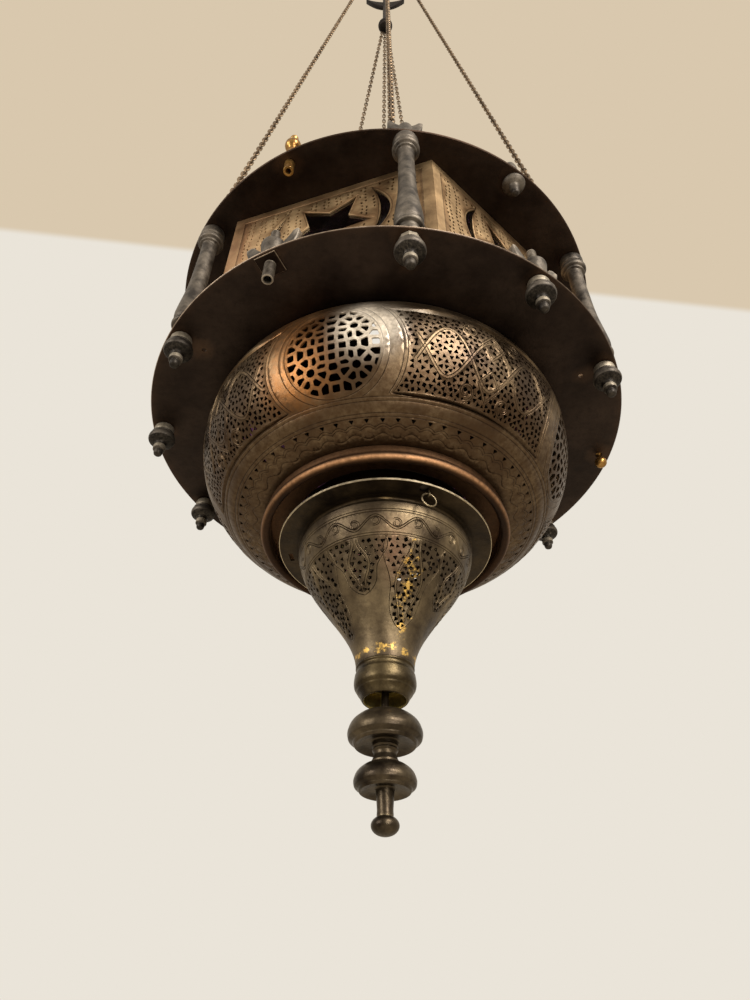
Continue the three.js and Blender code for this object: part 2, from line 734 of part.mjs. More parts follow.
function hanger() {
  const drop = turned([
    [0, rearChainRise], [0.8 * dropRadius, rearChainRise], [dropRadius, rearChainRise + 6],
    [dropRadius, rearChainRise + 14], [shankRadius, rearChainRise + 26], [0, rearChainRise + 26],
  ], 10);
  const shank = drum(shankRadius, rearChainRise + 20, eyeInLantern - eyeRadius);
  const moon = crescent(ironCrescentSpan, ironCrescentRise, ironCrescentThickness, 7)
    .translate(0, 0, ironCrescentHeight);
  const plate = drum(gatherRadius, frontChainRise, frontChainRise + gatherThickness, middleSegments);
  const eye = wireRing(eyeRadius, eyeWireRadius, 6, 16).translate(0, 0, eyeInLantern);
  return join(shank, drop, moon, plate, eye);
}
add(lantern, 'iron_hanger', hanger(), iron);

// Chains as straight bars: three from the front wing nuts to the plate, three from the back to the drop
function chain(name, from, to) {
  const [start, end] = [new THREE.Vector3(...from), new THREE.Vector3(...to)];
  const along = end.clone().sub(start);
  const mesh = add(lantern, name, drum(chainRadius, 0, along.length(), 6), chainMetal);
  mesh.position.copy(start);
  mesh.quaternion.setFromUnitVectors(new THREE.Vector3(0, 0, 1), along.normalize());
}

// Just above the tip of a wing nut's horn, the one on side 1 or -1
function hornPoint(degrees, side) {
  const [x, y] = ringPoint(boltRadius, degrees);
  const [sideX, sideY] = ringPoint((hornShare * upperWingSpan) / 2, degrees + side * 90);
  return [x + sideX, y + sideY, upperDiscTop + upperWingRise + 2 * fit];
}

function eyePoint(degrees) {
  const height = boltEyeHeight + boltEyeRadius + boltEyeWire + linkGap;
  return [...ringPoint(boltRadius, degrees), upperDiscTop + height];
}

const chainGap = 2 * fit;
frontNutPlaces.forEach(([i, side]) => {
  const degrees = balusterAngle(i);
  const top = [...ringPoint(gatherChainRadius, degrees), frontChainRise - chainGap];
  chain(`chain_front_${i + 1}`, hornPoint(degrees, side), top);
});
const rearFeet = [
  [betweenAngle(rearBoltPlaces[0]), eyePoint], [balusterAngle(rearNutPlace), hornPoint],
  [betweenAngle(rearBoltPlaces[1]), eyePoint],
];
rearFeet.forEach(([degrees, foot], i) => {
  const top = [...ringPoint(dropChainRadius, degrees), rearChainRise - chainGap];
  chain(`chain_back_${i + 1}`, foot(degrees, -1), top);
});

// Hanging ring, and the ceiling hook with its plate
add(object, 'hanging_ring', wireRing(ringRadius, ringWireRadius, 6, 24), iron, 0, 0, ringZ, 90);

function ceilingHook() {
  const bendZ = hookWireZ + hookBend;
  const bend = [];
  for (let degrees = 170; degrees <= 385; degrees += 21.5) {
    const [x, height] = ringPoint(hookBend, degrees);
    bend.push(new THREE.Vector3(x, 0, bendZ + height));
  }
  const route = new THREE.CatmullRomCurve3([
    new THREE.Vector3(0, 0, -ceilingPlateThickness / 2), new THREE.Vector3(0, 0, -0.2 * hookDrop),
    new THREE.Vector3(-0.55 * hookBend, 0, bendZ + 1.25 * hookBend), ...bend,
  ]);
  const section = new THREE.Shape();
  section.absarc(0, 0, hookWireRadius, 0, 2 * Math.PI);
  const options = { steps: 24, curveSegments: 4, extrudePath: route, bevelEnabled: false };
  const wire = new THREE.ExtrudeGeometry(section, options);
  const plate = drum(ceilingPlateRadius, -ceilingPlateThickness, 0, middleSegments);
  const screws = Array.from({ length: screwCount }, (_, i) => {
    const [x, y] = ringPoint(screwCircle, 30 + (i * 360) / screwCount);
    return drum(screwHoleRadius, -2 * ceilingPlateThickness, ceilingPlateThickness).translate(x, y, 0);
  });
  return cut(join(plate, wire), ...screws);
}
add(object, 'ceiling_hook', ceilingHook(), iron);

export default object;
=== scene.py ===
"""Looks of a hanging lantern: a pierced brass bowl and a glazed hexagonal box between two discs.

Shapes are drawn in millimetres on the lantern's axis, with z = 0 at the lower disc's underside.
"""

import math
import random

import bpy
from mathutils import Matrix, Vector
from mathutils.geometry import delaunay_2d_cdt


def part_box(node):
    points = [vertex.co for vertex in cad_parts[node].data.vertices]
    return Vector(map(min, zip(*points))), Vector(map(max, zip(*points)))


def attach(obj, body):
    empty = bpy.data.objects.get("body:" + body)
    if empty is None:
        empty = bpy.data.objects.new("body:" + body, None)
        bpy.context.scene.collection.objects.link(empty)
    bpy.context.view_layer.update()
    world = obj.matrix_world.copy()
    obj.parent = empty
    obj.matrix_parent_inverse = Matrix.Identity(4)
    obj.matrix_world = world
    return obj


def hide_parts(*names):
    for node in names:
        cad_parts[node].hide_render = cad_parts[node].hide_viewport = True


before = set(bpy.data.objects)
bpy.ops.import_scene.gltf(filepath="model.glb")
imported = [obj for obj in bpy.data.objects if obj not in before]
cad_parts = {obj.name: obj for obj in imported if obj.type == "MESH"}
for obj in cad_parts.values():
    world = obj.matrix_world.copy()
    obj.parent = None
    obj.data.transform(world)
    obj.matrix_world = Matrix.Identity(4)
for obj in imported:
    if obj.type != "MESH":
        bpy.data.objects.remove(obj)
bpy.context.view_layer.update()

# Sizes, in millimetres, that the frame's boxes give
MM = 0.001
BASE = Vector((0, 0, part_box("lower_disc")[0].z))


def extent(node):
    """Outer radius, lowest and highest point of a node that stands on the lantern's axis."""
    low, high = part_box(node)
    return high.y / MM, (low.z - BASE.z) / MM, (high.z - BASE.z) / MM


def middle(node):
    """Middle of a node's box, in millimetres in the lantern's frame."""
    low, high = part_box(node)
    return ((low + high) / 2 - BASE) / MM


DISC_RADIUS, _, DISC_THICKNESS = extent("lower_disc")
_, UPPER_DISC_Z, UPPER_DISC_TOP = extent("upper_disc")
GAP = 0.3

# Driving dimensions that the boxes don't give
BOLT_INSET = 12.0
BALUSTER_TURN = -85.0
STATION_STEP = 30.0
LOWER_DISC_HOLE = 150.0
UPPER_DISC_HOLE = 22.0
BOLT_HOLE = 3.6
SMALL_HOLE = 2.2
SMALL_HOLE_INSET = 34.0
BOX_TURN = -77.5
PANEL_THICKNESS = 1.8
SHEET = 1.8
BOLT_RADIUS = DISC_RADIUS - BOLT_INSET

BALUSTERS = range(6)


def baluster_angle(i):
    return BALUSTER_TURN + 2 * STATION_STEP * i


def between_angle(i):
    return baluster_angle(i) + STATION_STEP


def polar(radius, degrees, z=0.0):
    angle = math.radians(degrees)
    return Vector((radius * math.cos(angle), radius * math.sin(angle), z))


def arc(x, y, radius, angles, rise=None):
    """Points about (x, y) at angles in degrees; rise is the upright half axis of an oval."""
    rise = radius if rise is None else rise
    return [(x + radius * math.cos(math.radians(a)), y + rise * math.sin(math.radians(a))) for a in angles]


def circle(x, y, radius, count, start=0.0):
    return arc(x, y, radius, [start + 360 * k / count for k in range(count)])


def bearing(v):
    """Direction of a point about the lantern's axis, in degrees."""
    return math.degrees(math.atan2(v.y, v.x))


def clamped(value):
    return min(max(value, 0), 1)


def hump(value, centre, reach):
    """1 at the centre, falling to 0 at a reach from it."""
    return max(0, 1 - abs(value - centre) / reach)


# Shapes: a list of vertices and a list of faces

def join(*shapes):
    verts, faces = [], []
    for shape_verts, shape_faces in shapes:
        start = len(verts)
        verts.extend(shape_verts)
        faces.extend([start + i for i in face] for face in shape_faces)
    return verts, faces


def moved(shape, matrix):
    return [matrix @ Vector(v) for v in shape[0]], shape[1]


def at(shape, x, y, z, turn=0.0):
    return moved(shape, Matrix.Translation((x, y, z)) @ Matrix.Rotation(math.radians(turn), 4, "Z"))


def at_station(shape, degrees, z):
    """A piece on the bolt circle, its own Y axis pointing outward."""
    x, y, _ = polar(BOLT_RADIUS, degrees)
    return at(shape, x, y, z, degrees - 90)


def turned(outline, segments=64):
    """A closed outline of (radius, height) points turned about Z."""
    verts, faces, rings = [], [], []
    for radius, height in outline:
        if radius < 1e-6:
            rings.append([len(verts)] * segments)
            verts.append(Vector((0, 0, height)))
        else:
            rings.append(list(range(len(verts), len(verts) + segments)))
            verts.extend(polar(radius, 360 * k / segments, height) for k in range(segments))
    open_ended = outline[0][0] < 1e-6 and outline[-1][0] < 1e-6
    pairs = list(zip(rings, rings[1:])) + ([] if open_ended else [(rings[-1], rings[0])])
    for low, high in pairs:
        for k in range(segments):
            n = (k + 1) % segments
            face = [low[k], low[n], high[n], high[k]]
            face = list(dict.fromkeys(face))
            if len(face) > 2:
                faces.append(face)
    return verts, faces


def rounded(points, steps=3):
    """Outline whose corners given as (radius, height, fillet) are rounded."""
    out = []
    count = len(points)
    for i, point in enumerate(points):
        here = Vector(point[:2])
        if len(point) < 3 or i in (0, count - 1):
            out.append(tuple(here))
            continue
        before = Vector(points[i - 1][:2]) - here
        after = Vector(points[i + 1][:2]) - here
        reach = min(point[2], 0.48 * before.length, 0.48 * after.length)
        start = here + before.normalized() * reach
        end = here + after.normalized() * reach
        for k in range(steps + 1):
            t = k / steps
            out.append(tuple(start * (1 - t) ** 2 + here * (2 * t * (1 - t)) + end * t * t))
    return out


def from_axis(points, steps):
    """A rounded outline that starts on the axis, at the height of its first point."""
    return [(0, points[0][1])] + rounded(points, steps)


def scaled(points, radius, z, unit=1.0):
    """Outline points given as a share of a radius, a height above z in units, and a fillet."""
    return [(share * radius, z + height * unit, *fillet) for share, height, *fillet in points]


def shifted(points, radius, z):
    """Outline points given as a step out from a radius, a height above z, and a fillet."""
    return [(radius + step, z + height, *fillet) for step, height, *fillet in points]


def thread(start, end, pitch, crest, root):
    """Outline of a screw thread."""
    out = []
    while start < end:
        out += [(crest, start), (root, start + pitch / 2)]
        start += pitch
    return out


def tube(path, radius, sides=10, closed=False):
    """A round bar along a path; radius is one number or one for each point."""
    points = [Vector(p) for p in path]
    count = len(points)
    radii = radius if isinstance(radius, list) else [radius] * count
    verts, faces = [], []
    normal = None
    for i, point in enumerate(points):
        before = points[i - 1] if i or closed else point
        after = points[(i + 1) % count] if i < count - 1 or closed else point
        along = (after - before).normalized()
        if normal is None:
            normal = along.orthogonal().normalized()
        normal = (normal - along * normal.dot(along)).normalized()
        side = along.cross(normal)
        for k in range(sides):
            angle = 2 * math.pi * k / sides
            verts.append(point + (normal * math.cos(angle) + side * math.sin(angle)) * radii[i])
    rings = count if closed else count - 1
    twist = closing_twist(points, verts, sides) if closed else 0
    for i in range(rings):
        start, end = i * sides, ((i + 1) % count) * sides
        shift = twist if i == count - 1 else 0
        for k in range(sides):
            n = (k + 1) % sides
            faces.append([start + k, start + n, end + (n + shift) % sides, end + (k + shift) % sides])
    if not closed:
        faces.append(list(range(sides))[::-1])
        faces.append([(count - 1) * sides + k for k in range(sides)])
    return verts, faces


def closing_twist(points, verts, sides):
    """How many sides the last section is turned against the first."""
    last = verts[-sides] - points[-1] + points[0]
    return min(range(sides), key=lambda k: (verts[k] - last).length)


def hoop(radius, wire, steps, sides):
    """A wire ring about the Y axis."""
    return tube([(x, 0, z) for x, z in circle(0, 0, radius, steps)], wire, sides, closed=True)


def prism(loop, y0, y1):
    """A loop of (x, z) points made a plate from y0 to y1."""
    count = len(loop)
    verts = [Vector((x, y0, z)) for x, z in loop] + [Vector((x, y1, z)) for x, z in loop]
    faces = [[k, (k + 1) % count, count + (k + 1) % count, count + k] for k in range(count)]
    return verts, faces + [list(range(count))[::-1], list(range(count, 2 * count))]


def block(x, y, z):
    """A plate from (x0, x1), (y0, y1) and (z0, z1)."""
    return prism(rectangle(x[0], z[0], x[1], z[1]), *y)


def rectangle(x0, y0, x1, y1):
    return [(x0, y0), (x1, y0), (x1, y1), (x0, y1)]


def headings(points):
    """Each point of a line with the line's direction there; a closed line has no ends."""
    looped = (points[0] - points[-1]).length < 1e-6
    for i, point in enumerate(points):
        before = points[i - 1] if i else (points[-2] if looped else point)
        after = points[i + 1] if i < len(points) - 1 else (points[1] if looped else point)
        yield point, (after - before).normalized()


def offset(line, distance):
    """A line moved sideways."""
    return [(p.x - along.y * distance, p.y + along.x * distance)
            for p, along in headings([Vector(p) for p in line])]


# Pierced and engraved sheet metal

BIN, FULL_ENGRAVING = 3.0, 0.3


class Drawing:
    """A sheet drawn flat in millimetres, with holes and engraved lines; it may close on itself in x."""

    def __init__(self, width, height, step, wraps=False):
        self.width, self.height, self.step, self.wraps = width, height, step, wraps
        self.holes, self.lines, self.engraving = [], [], []

    def hole(self, loop, rim=0.0):
        """A hole, kept with its corners counter-clockwise."""
        turning = sum(a[0] * b[1] - a[1] * b[0] for a, b in zip(loop, loop[1:] + loop[:1]))
        self.holes.append((loop if turning > 0 else loop[::-1], rim))

    def line(self, points, half_width=0.6, depth=0.35):
        """An engraved V line; a wrapping sheet takes points past its ends."""
        shifts = (-self.width, 0, self.width) if self.wraps else (0,)
        for shift in shifts:
            for part in self.inside([Vector((x + shift, y)) for x, y in points]):
                self.lines.append((part, half_width, depth))

    def inside(self, run):
        """The stretches of a line between x = 0 and x = width, cut exactly there."""
        parts, part = [], []
        for a, b in zip(run, run[1:]):
            t0, t1 = 0.0, 1.0
            for edge, sign in ((0.0, 1), (self.width, -1)):
                start, end = (a.x - edge) * sign, (b.x - edge) * sign
                if start < 0 and end < 0:
                    t0, t1 = 1.0, 0.0
                elif start < 0:
                    t0 = max(t0, -start / (end - start))
                elif end < 0:
                    t1 = min(t1, start / (start - end))
            if t1 > t0:
                part = (part or [a.lerp(b, t0)]) + [a.lerp(b, t1)]
            if t1 < 1.0:
                parts.append(part)
                part = []
        parts.append(part)
        return [part for part in parts if len(part) > 1]

    def triangles(self):
        """Flat vertices, their engraved depth, and the triangles outside the holes."""
        verts, edges = self.border(), []
        faces = [list(range(len(verts)))]
        near, grooves = Nearby(BIN), Grooves(BIN)
        for loop, rim in self.holes:
            faces.append(list(range(len(verts), len(verts) + len(loop))))
            for p in loop:
                verts.append(Vector(p))
                near.add(verts[-1], rim)
        for run, half_width, depth in self.lines:
            grooves.add(run, half_width, depth)
            for side in (-1, 0, 1):
                start = len(verts)
                verts.extend(self.beside(run, side * half_width))
                edges.extend((i, i + 1) for i in range(start, len(verts) - 1))
        for x, y in self.grid():
            point = Vector((x, y))
            if near.distance(point) > 0.5 * self.step and grooves.clearance(point) > 0.3 * self.step:
                verts.append(point)
        flat, _, tris, _, _, kinds = delaunay_2d_cdt(verts, edges, faces, 1, 1e-4, True)
        kept = [list(t) for t, kind in zip(tris, kinds) if kind == [0]]
        depth = [max(grooves.depth(p), near.exact(p)) for p in flat]
        flat, depth, kept = self.closed(flat, depth, kept)
        self.engraving = [min(grooves.depth(p) / FULL_ENGRAVING, 1.0) for p in flat]
        return flat, depth, kept

    def steps(self):
        return max(2, round(self.width / self.step)), max(2, round(self.height / self.step))

    def border(self):
        across, up = self.steps()
        xs = [self.width * i / across for i in range(across)]
        ys = [self.height * i / up for i in range(up)]
        return ([Vector((x, 0)) for x in xs] + [Vector((self.width, y)) for y in ys]
                + [Vector((self.width - x, self.height)) for x in xs]
                + [Vector((0, self.height - y)) for y in ys])

    def grid(self):
        across, up = self.steps()
        for j in range(1, up):
            for i in range(1, across):
                shift = 0.25 if j % 2 else -0.25
                yield self.width * (i + shift) / across, self.height * j / up

    def beside(self, run, offset):
        """The line moved sideways; its ends stay on the sheet's ends."""
        out = []
        for point, along in headings(run):
            beside = point + Vector((-along.y, along.x)) * offset
            for edge in (0.0, self.width):
                if abs(point.x - edge) < 1e-6 and self.wraps:
                    beside = Vector((edge, point.y + (offset if along.x >= 0 else -offset)))
            beside.x = min(max(beside.x, 0.0), self.width)
            beside.y = min(max(beside.y, 0.0), self.height)
            out.append(beside)
        return out

    def closed(self, flat, depth, tris):
        """Unused vertices dropped, and the two ends welded where the sheet wraps."""
        used = sorted({i for t in tris for i in t})
        first, index = {}, {}
        verts, depths = [], []
        for i in used:
            x, y = flat[i]
            wrapped = self.wraps and abs(x - self.width) < 1e-4
            key = (0.0, round(y, 2)) if wrapped or (self.wraps and abs(x) < 1e-4) else None
            if key in first:
                index[i] = first[key]
                continue
            index[i] = len(verts)
            if key:
                first[key] = index[i]
            verts.append(Vector((x, y)))
            depths.append(depth[i])
        faces = [[index[i] for i in t] for t in tris]
        return verts, depths, [face for face in faces if len(set(face)) == 3]


class Nearby:
    """Points in square bins, to ask how far the nearest one is."""

    def __init__(self, size):
        self.size, self.bins = size, {}

    def key(self, point):
        return math.floor(point.x / self.size), math.floor(point.y / self.size)

    def add(self, point, value=0.0):
        self.bins.setdefault(self.key(point), []).append((point, value))

    def around(self, point):
        i, j = self.key(point)
        for di in (-1, 0, 1):
            for dj in (-1, 0, 1):
                yield from self.bins.get((i + di, j + dj), ())

    def distance(self, point):
        return min(((point - p).length for p, _ in self.around(point)), default=self.size)

    def exact(self, point):
        return max((v for p, v in self.around(point) if (point - p).length < 1e-3), default=0.0)


class Grooves:
    """Engraved lines in square bins, to ask how deep the sheet is engraved at a point."""

    def __init__(self, size):
        self.size, self.bins = size, {}

    def span(self, a, b, margin):
        """The bins that a stretch from a to b reaches along one axis."""
        low, high = min(a, b) - margin, max(a, b) + margin
        return range(math.floor(low / self.size), math.floor(high / self.size) + 1)

    def add(self, run, half_width, depth):
        for a, b in zip(run, run[1:]):
            for i in self.span(a.x, b.x, half_width):
                for j in self.span(a.y, b.y, half_width):
                    self.bins.setdefault((i, j), []).append((a, b, half_width, depth))

    def nearest(self, point):
        key = math.floor(point.x / self.size), math.floor(point.y / self.size)
        for a, b, half_width, depth in self.bins.get(key, ()):
            span = b - a
            t = min(max((point - a).dot(span) / max(span.length_squared, 1e-12), 0), 1)
            yield (point - a - span * t).length, half_width, depth

    def depth(self, point):
        return max((d * (1 - far / w) for far, w, d in self.nearest(point) if far < 0.98 * w), default=0.0)

    def clearance(self, point):
        return min((far for far, _, _ in self.nearest(point)), default=self.size)


def thick(drawing, outer, thickness):
    """The drawing as a solid sheet: outer(x, y, depth) places a point, thickness is measured inward."""
    flat, depths, tris = drawing.triangles()
    count = len(flat)
    verts = [outer(p.x, p.y, d) for p, d in zip(flat, depths)]
    verts += [outer(p.x, p.y, thickness) for p in flat]
    drawing.engraving += [0.0] * count
    faces = tris + [[count + i for i in t[::-1]] for t in tris]
    faces += [[b, a, count + a, count + b] for a, b in open_edges(tris)]
    return verts, faces


def open_edges(tris):
    """Edges that only one triangle has, in the order in which they come."""
    edges = dict.fromkeys(edge for a, b, c in tris for edge in ((a, b), (b, c), (c, a)))
    return [(a, b) for a, b in edges if (b, a) not in edges]


class Profile:
    """A line of (radius, height) points, asked for its place by arc length in millimetres."""

    def __init__(self, points):
        self.points = [Vector(p) for p in points]
        self.lengths = [0.0]
        for a, b in zip(self.points, self.points[1:]):
            self.lengths.append(self.lengths[-1] + (b - a).length)
        self.length = self.lengths[-1]

    def find(self, s):
        s = min(max(s, 0.0), self.length)
        low, high = 0, len(self.lengths) - 1
        while high - low > 1:
            half = (low + high) // 2
            if self.lengths[half] <= s:
                low = half
            else:
                high = half
        return low, (s - self.lengths[low]) / (self.lengths[low + 1] - self.lengths[low])

    def radius(self, s):
        i, t = self.find(s)
        return self.points[i].lerp(self.points[i + 1], t).x

    def normal(self, i):
        a = self.points[max(i - 1, 0)]
        b = self.points[min(i + 1, len(self.points) - 1)]
        along = (b - a).normalized()
        return Vector((-along.y, along.x))

    def place(self, s, depth=0.0):
        i, t = self.find(s)
        out = self.normal(i).lerp(self.normal(i + 1), t)
        return self.points[i].lerp(self.points[i + 1], t) - out * depth


# Materials

def linear(code):
    """Linear colour of a hex code."""
    out = []
    for k in (0, 2, 4):
        c = int(code[k:k + 2], 16) / 255
        out.append(c / 12.92 if c <= 0.04045 else ((c + 0.055) / 1.055) ** 2.4)
    return (*out, 1.0)


class Nodes:
    """Short names for building a node tree."""

    def __init__(self, tree, place):
        self.tree = tree
        self.place = self.add("TexCoord").outputs[place]

    def link(self, source, socket):
        self.tree.links.new(source, socket)

    def add(self, kind, **settings):
        node = self.tree.nodes.new("ShaderNode" + kind)
        for name, value in settings.items():
            setattr(node, name, value)
        return node

    def feed(self, socket, value):
        """A socket gets a number or colour, or the link to another node's output."""
        if isinstance(value, (float, tuple)):
            socket.default_value = value
        else:
            self.link(value, socket)

    def noise(self, scale, detail=4.0, roughness=0.6):
        node = self.add("TexNoise")
        values = (self.place, scale, detail, roughness)
        for name, value in zip(("Vector", "Scale", "Detail", "Roughness"), values):
            self.feed(node.inputs[name], value)
        return node.outputs["Fac"]

    def ramp(self, source, low, high, start=0.0, end=1.0, kind="LINEAR"):
        """The source from low..high stretched to start..end, clamped."""
        node = self.add("MapRange", interpolation_type=kind)
        values = (source, low, high, start, end)
        for name, value in zip(("Value", "From Min", "From Max", "To Min", "To Max"), values):
            self.feed(node.inputs[name], value)
        return node.outputs["Result"]

    def math(self, operation, a, b):
        node = self.add("Math", operation=operation)
        self.feed(node.inputs[0], a)
        self.feed(node.inputs[1], b)
        return node.outputs[0]

    def times(self, a, b):
        return self.math("MULTIPLY", a, b)

    def plus(self, a, b):
        return self.math("ADD", a, b)

    def mix(self, factor, a, b):
        node = self.add("Mix", data_type="RGBA")
        for name, value in (("Factor", factor), ("A", a), ("B", b)):
            self.feed(node.inputs[name], value)
        return node.outputs["Result"]

    def attribute(self, name):
        return self.add("Attribute", attribute_name=name).outputs["Fac"]

    def bump(self, height, strength, distance, base=None):
        node = self.add("Bump")
        for name, value in (("Height", height), ("Strength", strength), ("Distance", distance)):
            self.feed(node.inputs[name], value)
        if base is not None:
            self.link(base, node.inputs["Normal"])
        return node.outputs["Normal"]


class Surface(Nodes):
    """A material with its node tree and its shader's sockets."""

    def __init__(self, name):
        self.material = bpy.data.materials.new(name)
        self.material.use_nodes = True
        super().__init__(self.material.node_tree, "Object")
        self.shader = self.tree.nodes["Principled BSDF"].inputs

    def set(self, name, value):
        self.shader[name].default_value = value


LIT_PATCH_METALLIC = 0.3


def metal(name, base, dark, worn, metallic=0.9, rough=(0.35, 0.6), mottle=26.0, extra=(), broken_patch=None,
          edge=(0.52, 0.6), lit_patch=None):
    """Old metal: patina, dirt in the hollows, polish on the edges, extra colours where attributes say."""
    nodes = Surface(name)
    broad = nodes.noise(mottle, 5.0, 0.62)
    fine = nodes.noise(mottle * 9, 4.0, 0.65)
    colour = nodes.mix(nodes.ramp(broad, 0.36, 0.68), linear(dark), linear(base))
    colour = nodes.mix(nodes.ramp(fine, 0.5, 0.8, 0.0, 0.6), colour, linear(dark))
    pointed = nodes.add("NewGeometry").outputs["Pointiness"]
    rub = nodes.times(nodes.ramp(pointed, *edge), nodes.ramp(broad, 0.3, 0.6, 0.35, 1.0))
    colour = nodes.mix(nodes.times(rub, 0.8), colour, linear(worn))
    hollow = nodes.ramp(pointed, 0.49, 0.42)
    colour = nodes.mix(nodes.times(hollow, 0.75), colour, linear(dark))
    for attribute, code, strength in extra:
        spots = nodes.times(nodes.attribute(attribute), nodes.ramp(fine, 0.3, 0.62, 0.45, 1.0))
        colour = nodes.mix(nodes.times(spots, strength), colour, linear(code))
    # A colour in patches broken by noise, where an attribute says; on the cone a painted highlight.
    if broken_patch:
        attribute, code = broken_patch
        left = nodes.plus(nodes.noise(130.0, 6.0, 0.75), nodes.times(nodes.attribute(attribute), 0.4))
        colour = nodes.mix(nodes.ramp(left, 0.74, 0.82, 0.0, 0.85), colour, linear(code))
    nodes.link(colour, nodes.shader["Base Color"])
    nodes.set("Metallic", metallic)
    # Where a painted highlight is laid, the metal is made less metallic so that it shows.
    if lit_patch:
        dull = nodes.ramp(nodes.attribute(lit_patch), 0.0, 1.0, metallic, LIT_PATCH_METALLIC)
        nodes.link(dull, nodes.shader["Metallic"])
    gloss = nodes.ramp(nodes.plus(broad, nodes.times(fine, 0.5)), 0.45, 1.0, *rough)
    nodes.link(gloss, nodes.shader["Roughness"])
    dents = nodes.bump(nodes.noise(75.0, 3.0, 0.5), 0.4, 0.0014)
    nodes.link(nodes.bump(nodes.noise(420.0, 5.0, 0.7), 0.35, 0.0004, dents), nodes.shader["Normal"])
    return nodes.material


def glass(name, thin, thick_tone, roughness):
    nodes = Surface(name)
    tone = nodes.mix(nodes.ramp(nodes.noise(18.0, 4.0), 0.35, 0.7), linear(thin), linear(thick_tone))
    nodes.link(tone, nodes.shader["Base Color"])
    nodes.set("Transmission Weight", 1.0)
    nodes.set("IOR", 1.5)
    smudge = nodes.ramp(nodes.noise(45.0, 5.0), 0.4, 0.7, roughness, roughness * 2.5)
    nodes.link(smudge, nodes.shader["Roughness"])
    nodes.link(nodes.bump(nodes.noise(30.0, 2.0), 0.4, 0.0004), nodes.shader["Normal"])
    return nodes.material


GROOVE = ("groove", "1c120a", 1.0)
# Its bright colour along the discs' lower edges is a painted highlight.
DARK_SHEET = metal("dark_sheet", "3a2f28", "201814", "5e4837", rough=(0.36, 0.6), mottle=14.0,
                   extra=(("rim", "d9c4ae", 1.0),))
# Its pale colour on the front medallion is a painted highlight, where the metal is also made less metallic.
BOWL_BRASS = metal("bowl_brass", "87745a", "42352a", "cfc0a2", rough=(0.28, 0.5),
                   extra=(("brown", "463422", 0.85), ("copper", "a8703c", 0.62), ("lattice_highlight", "f6ead8", 0.9),
                          GROOVE), lit_patch="lattice_highlight")
# Its bright colour along the roll is a painted highlight, with a little painted light on the inner plate.
ROLL_COPPER = metal("roll_copper", "46301f", "24160c", "7e5a3e", rough=(0.48, 0.68),
                    extra=(("crest", "c8986e", 0.8),))
# Its bright colour along the outer edge is a painted highlight.
FLANGE_BRASS = metal("flange_brass", "483c2b", "211a12", "9c8660", rough=(0.34, 0.54),
                     extra=(("rim", "d8c8aa", 1.0),))
COLLAR_BRONZE = metal("collar_bronze", "5e523a", "292116", "bba67a", rough=(0.26, 0.46), mottle=40.0,
                      extra=(("gold", "b8a868", 0.8),))
# Its bright colour on the washer's sides is a painted highlight.
WASHER_SHEET = metal("washer_sheet", "2a1e16", "150e0a", "c8b498", rough=(0.35, 0.6), mottle=30.0,
                     extra=(("rim", "b8a48c", 0.8),), edge=(0.9, 1.0))
# Its gold colour, broken up by noise, paints a highlight in a streak down the front, and a band over the
# collar.
CONE_BRASS = metal("cone_brass", "7c6d54", "3e3428", "b8a684", rough=(0.34, 0.56),
                   extra=(("copper", "8a6450", 0.4), GROOVE), broken_patch=("gold", "d2ac5c"))
# On the nuts, its pale colour is a painted highlight and its near-black a painted shade.
PEWTER = metal("pewter", "6e665c", "2a2521", "c4b8a8", metallic=0.75, rough=(0.42, 0.62), mottle=60.0,
               extra=(("nut_highlight", "b4a996", 0.6), ("nut_shade", "120e0a", 1.0)))
FINIAL_METAL = metal("finial_metal", "5c5140", "272019", "a89878", rough=(0.25, 0.45), mottle=40.0)
PANEL_BRASS = metal("panel_brass", "a88a66", "6a5036", "d8bc92", rough=(0.4, 0.58), mottle=22.0,
                    extra=(("copper", "94664a", 0.45), GROOVE))
BRIGHT_BRASS = metal("bright_brass", "c49a56", "74512a", "efd08a", rough=(0.22, 0.4), mottle=70.0)
CHAIN_METAL = metal("chain_metal", "57483a", "241b14", "8e7a62", rough=(0.35, 0.55), mottle=50.0)
IRON = metal("iron", "2a2320", "120e0c", "6a5f56", metallic=0.8, rough=(0.45, 0.7), mottle=40.0)
PURPLE_GLASS = glass("purple_glass", "6a4468", "3a2038", 0.1)
CLEAR_GLASS = glass("clear_glass", "dfe8e0", "dfe8e0", 0.03)


# Pieces

BEVEL_ANGLE = 50.0


def linked(name, data):
    """A new object in the scene."""
    obj = bpy.data.objects.new(name, data)
    bpy.context.scene.collection.objects.link(obj)
    return obj


def piece(name, shape, material, body, *nodes, slot=None, sharp=35.0, bevel=0.0, attributes=None):
    """A mesh in the lantern's frame becomes a piece on a body, in place of the nodes."""
    verts, faces = shape
    mesh = bpy.data.meshes.new(name)
    mesh.from_pydata([BASE + Vector(v) * MM for v in verts], [], faces)
    mesh.validate()
    mesh.update()
    for attribute, rule in (attributes or {}).items():
        layer = mesh.attributes.new(attribute, "FLOAT", "POINT")
        values = rule if isinstance(rule, list) else [rule(Vector(v)) for v in verts]
        layer.data.foreach_set("value", values)
    mesh.shade_smooth()
    mesh.set_sharp_from_angle(angle=math.radians(sharp))
    mesh.materials.append(material)
    obj = linked(name, mesh)
    if bevel:
        modifier = obj.modifiers.new("soft_edges", "BEVEL")
        modifier.width = bevel * MM
        modifier.segments = 2
        modifier.limit_method = "ANGLE"
        modifier.angle_limit = math.radians(BEVEL_ANGLE)
        modifier.harden_normals = False
    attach(obj, body)
    if nodes:
        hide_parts(*nodes)
    return obj


def fastener(name, shape, degrees, z, node, material=PEWTER, slot="pewter", sharp=50, attributes=None):
    """A turned piece on the bolt circle."""
    piece(name, at_station(shape, degrees, z), material, "lantern", node, slot=slot, sharp=sharp,
          attributes=attributes)


# Discs

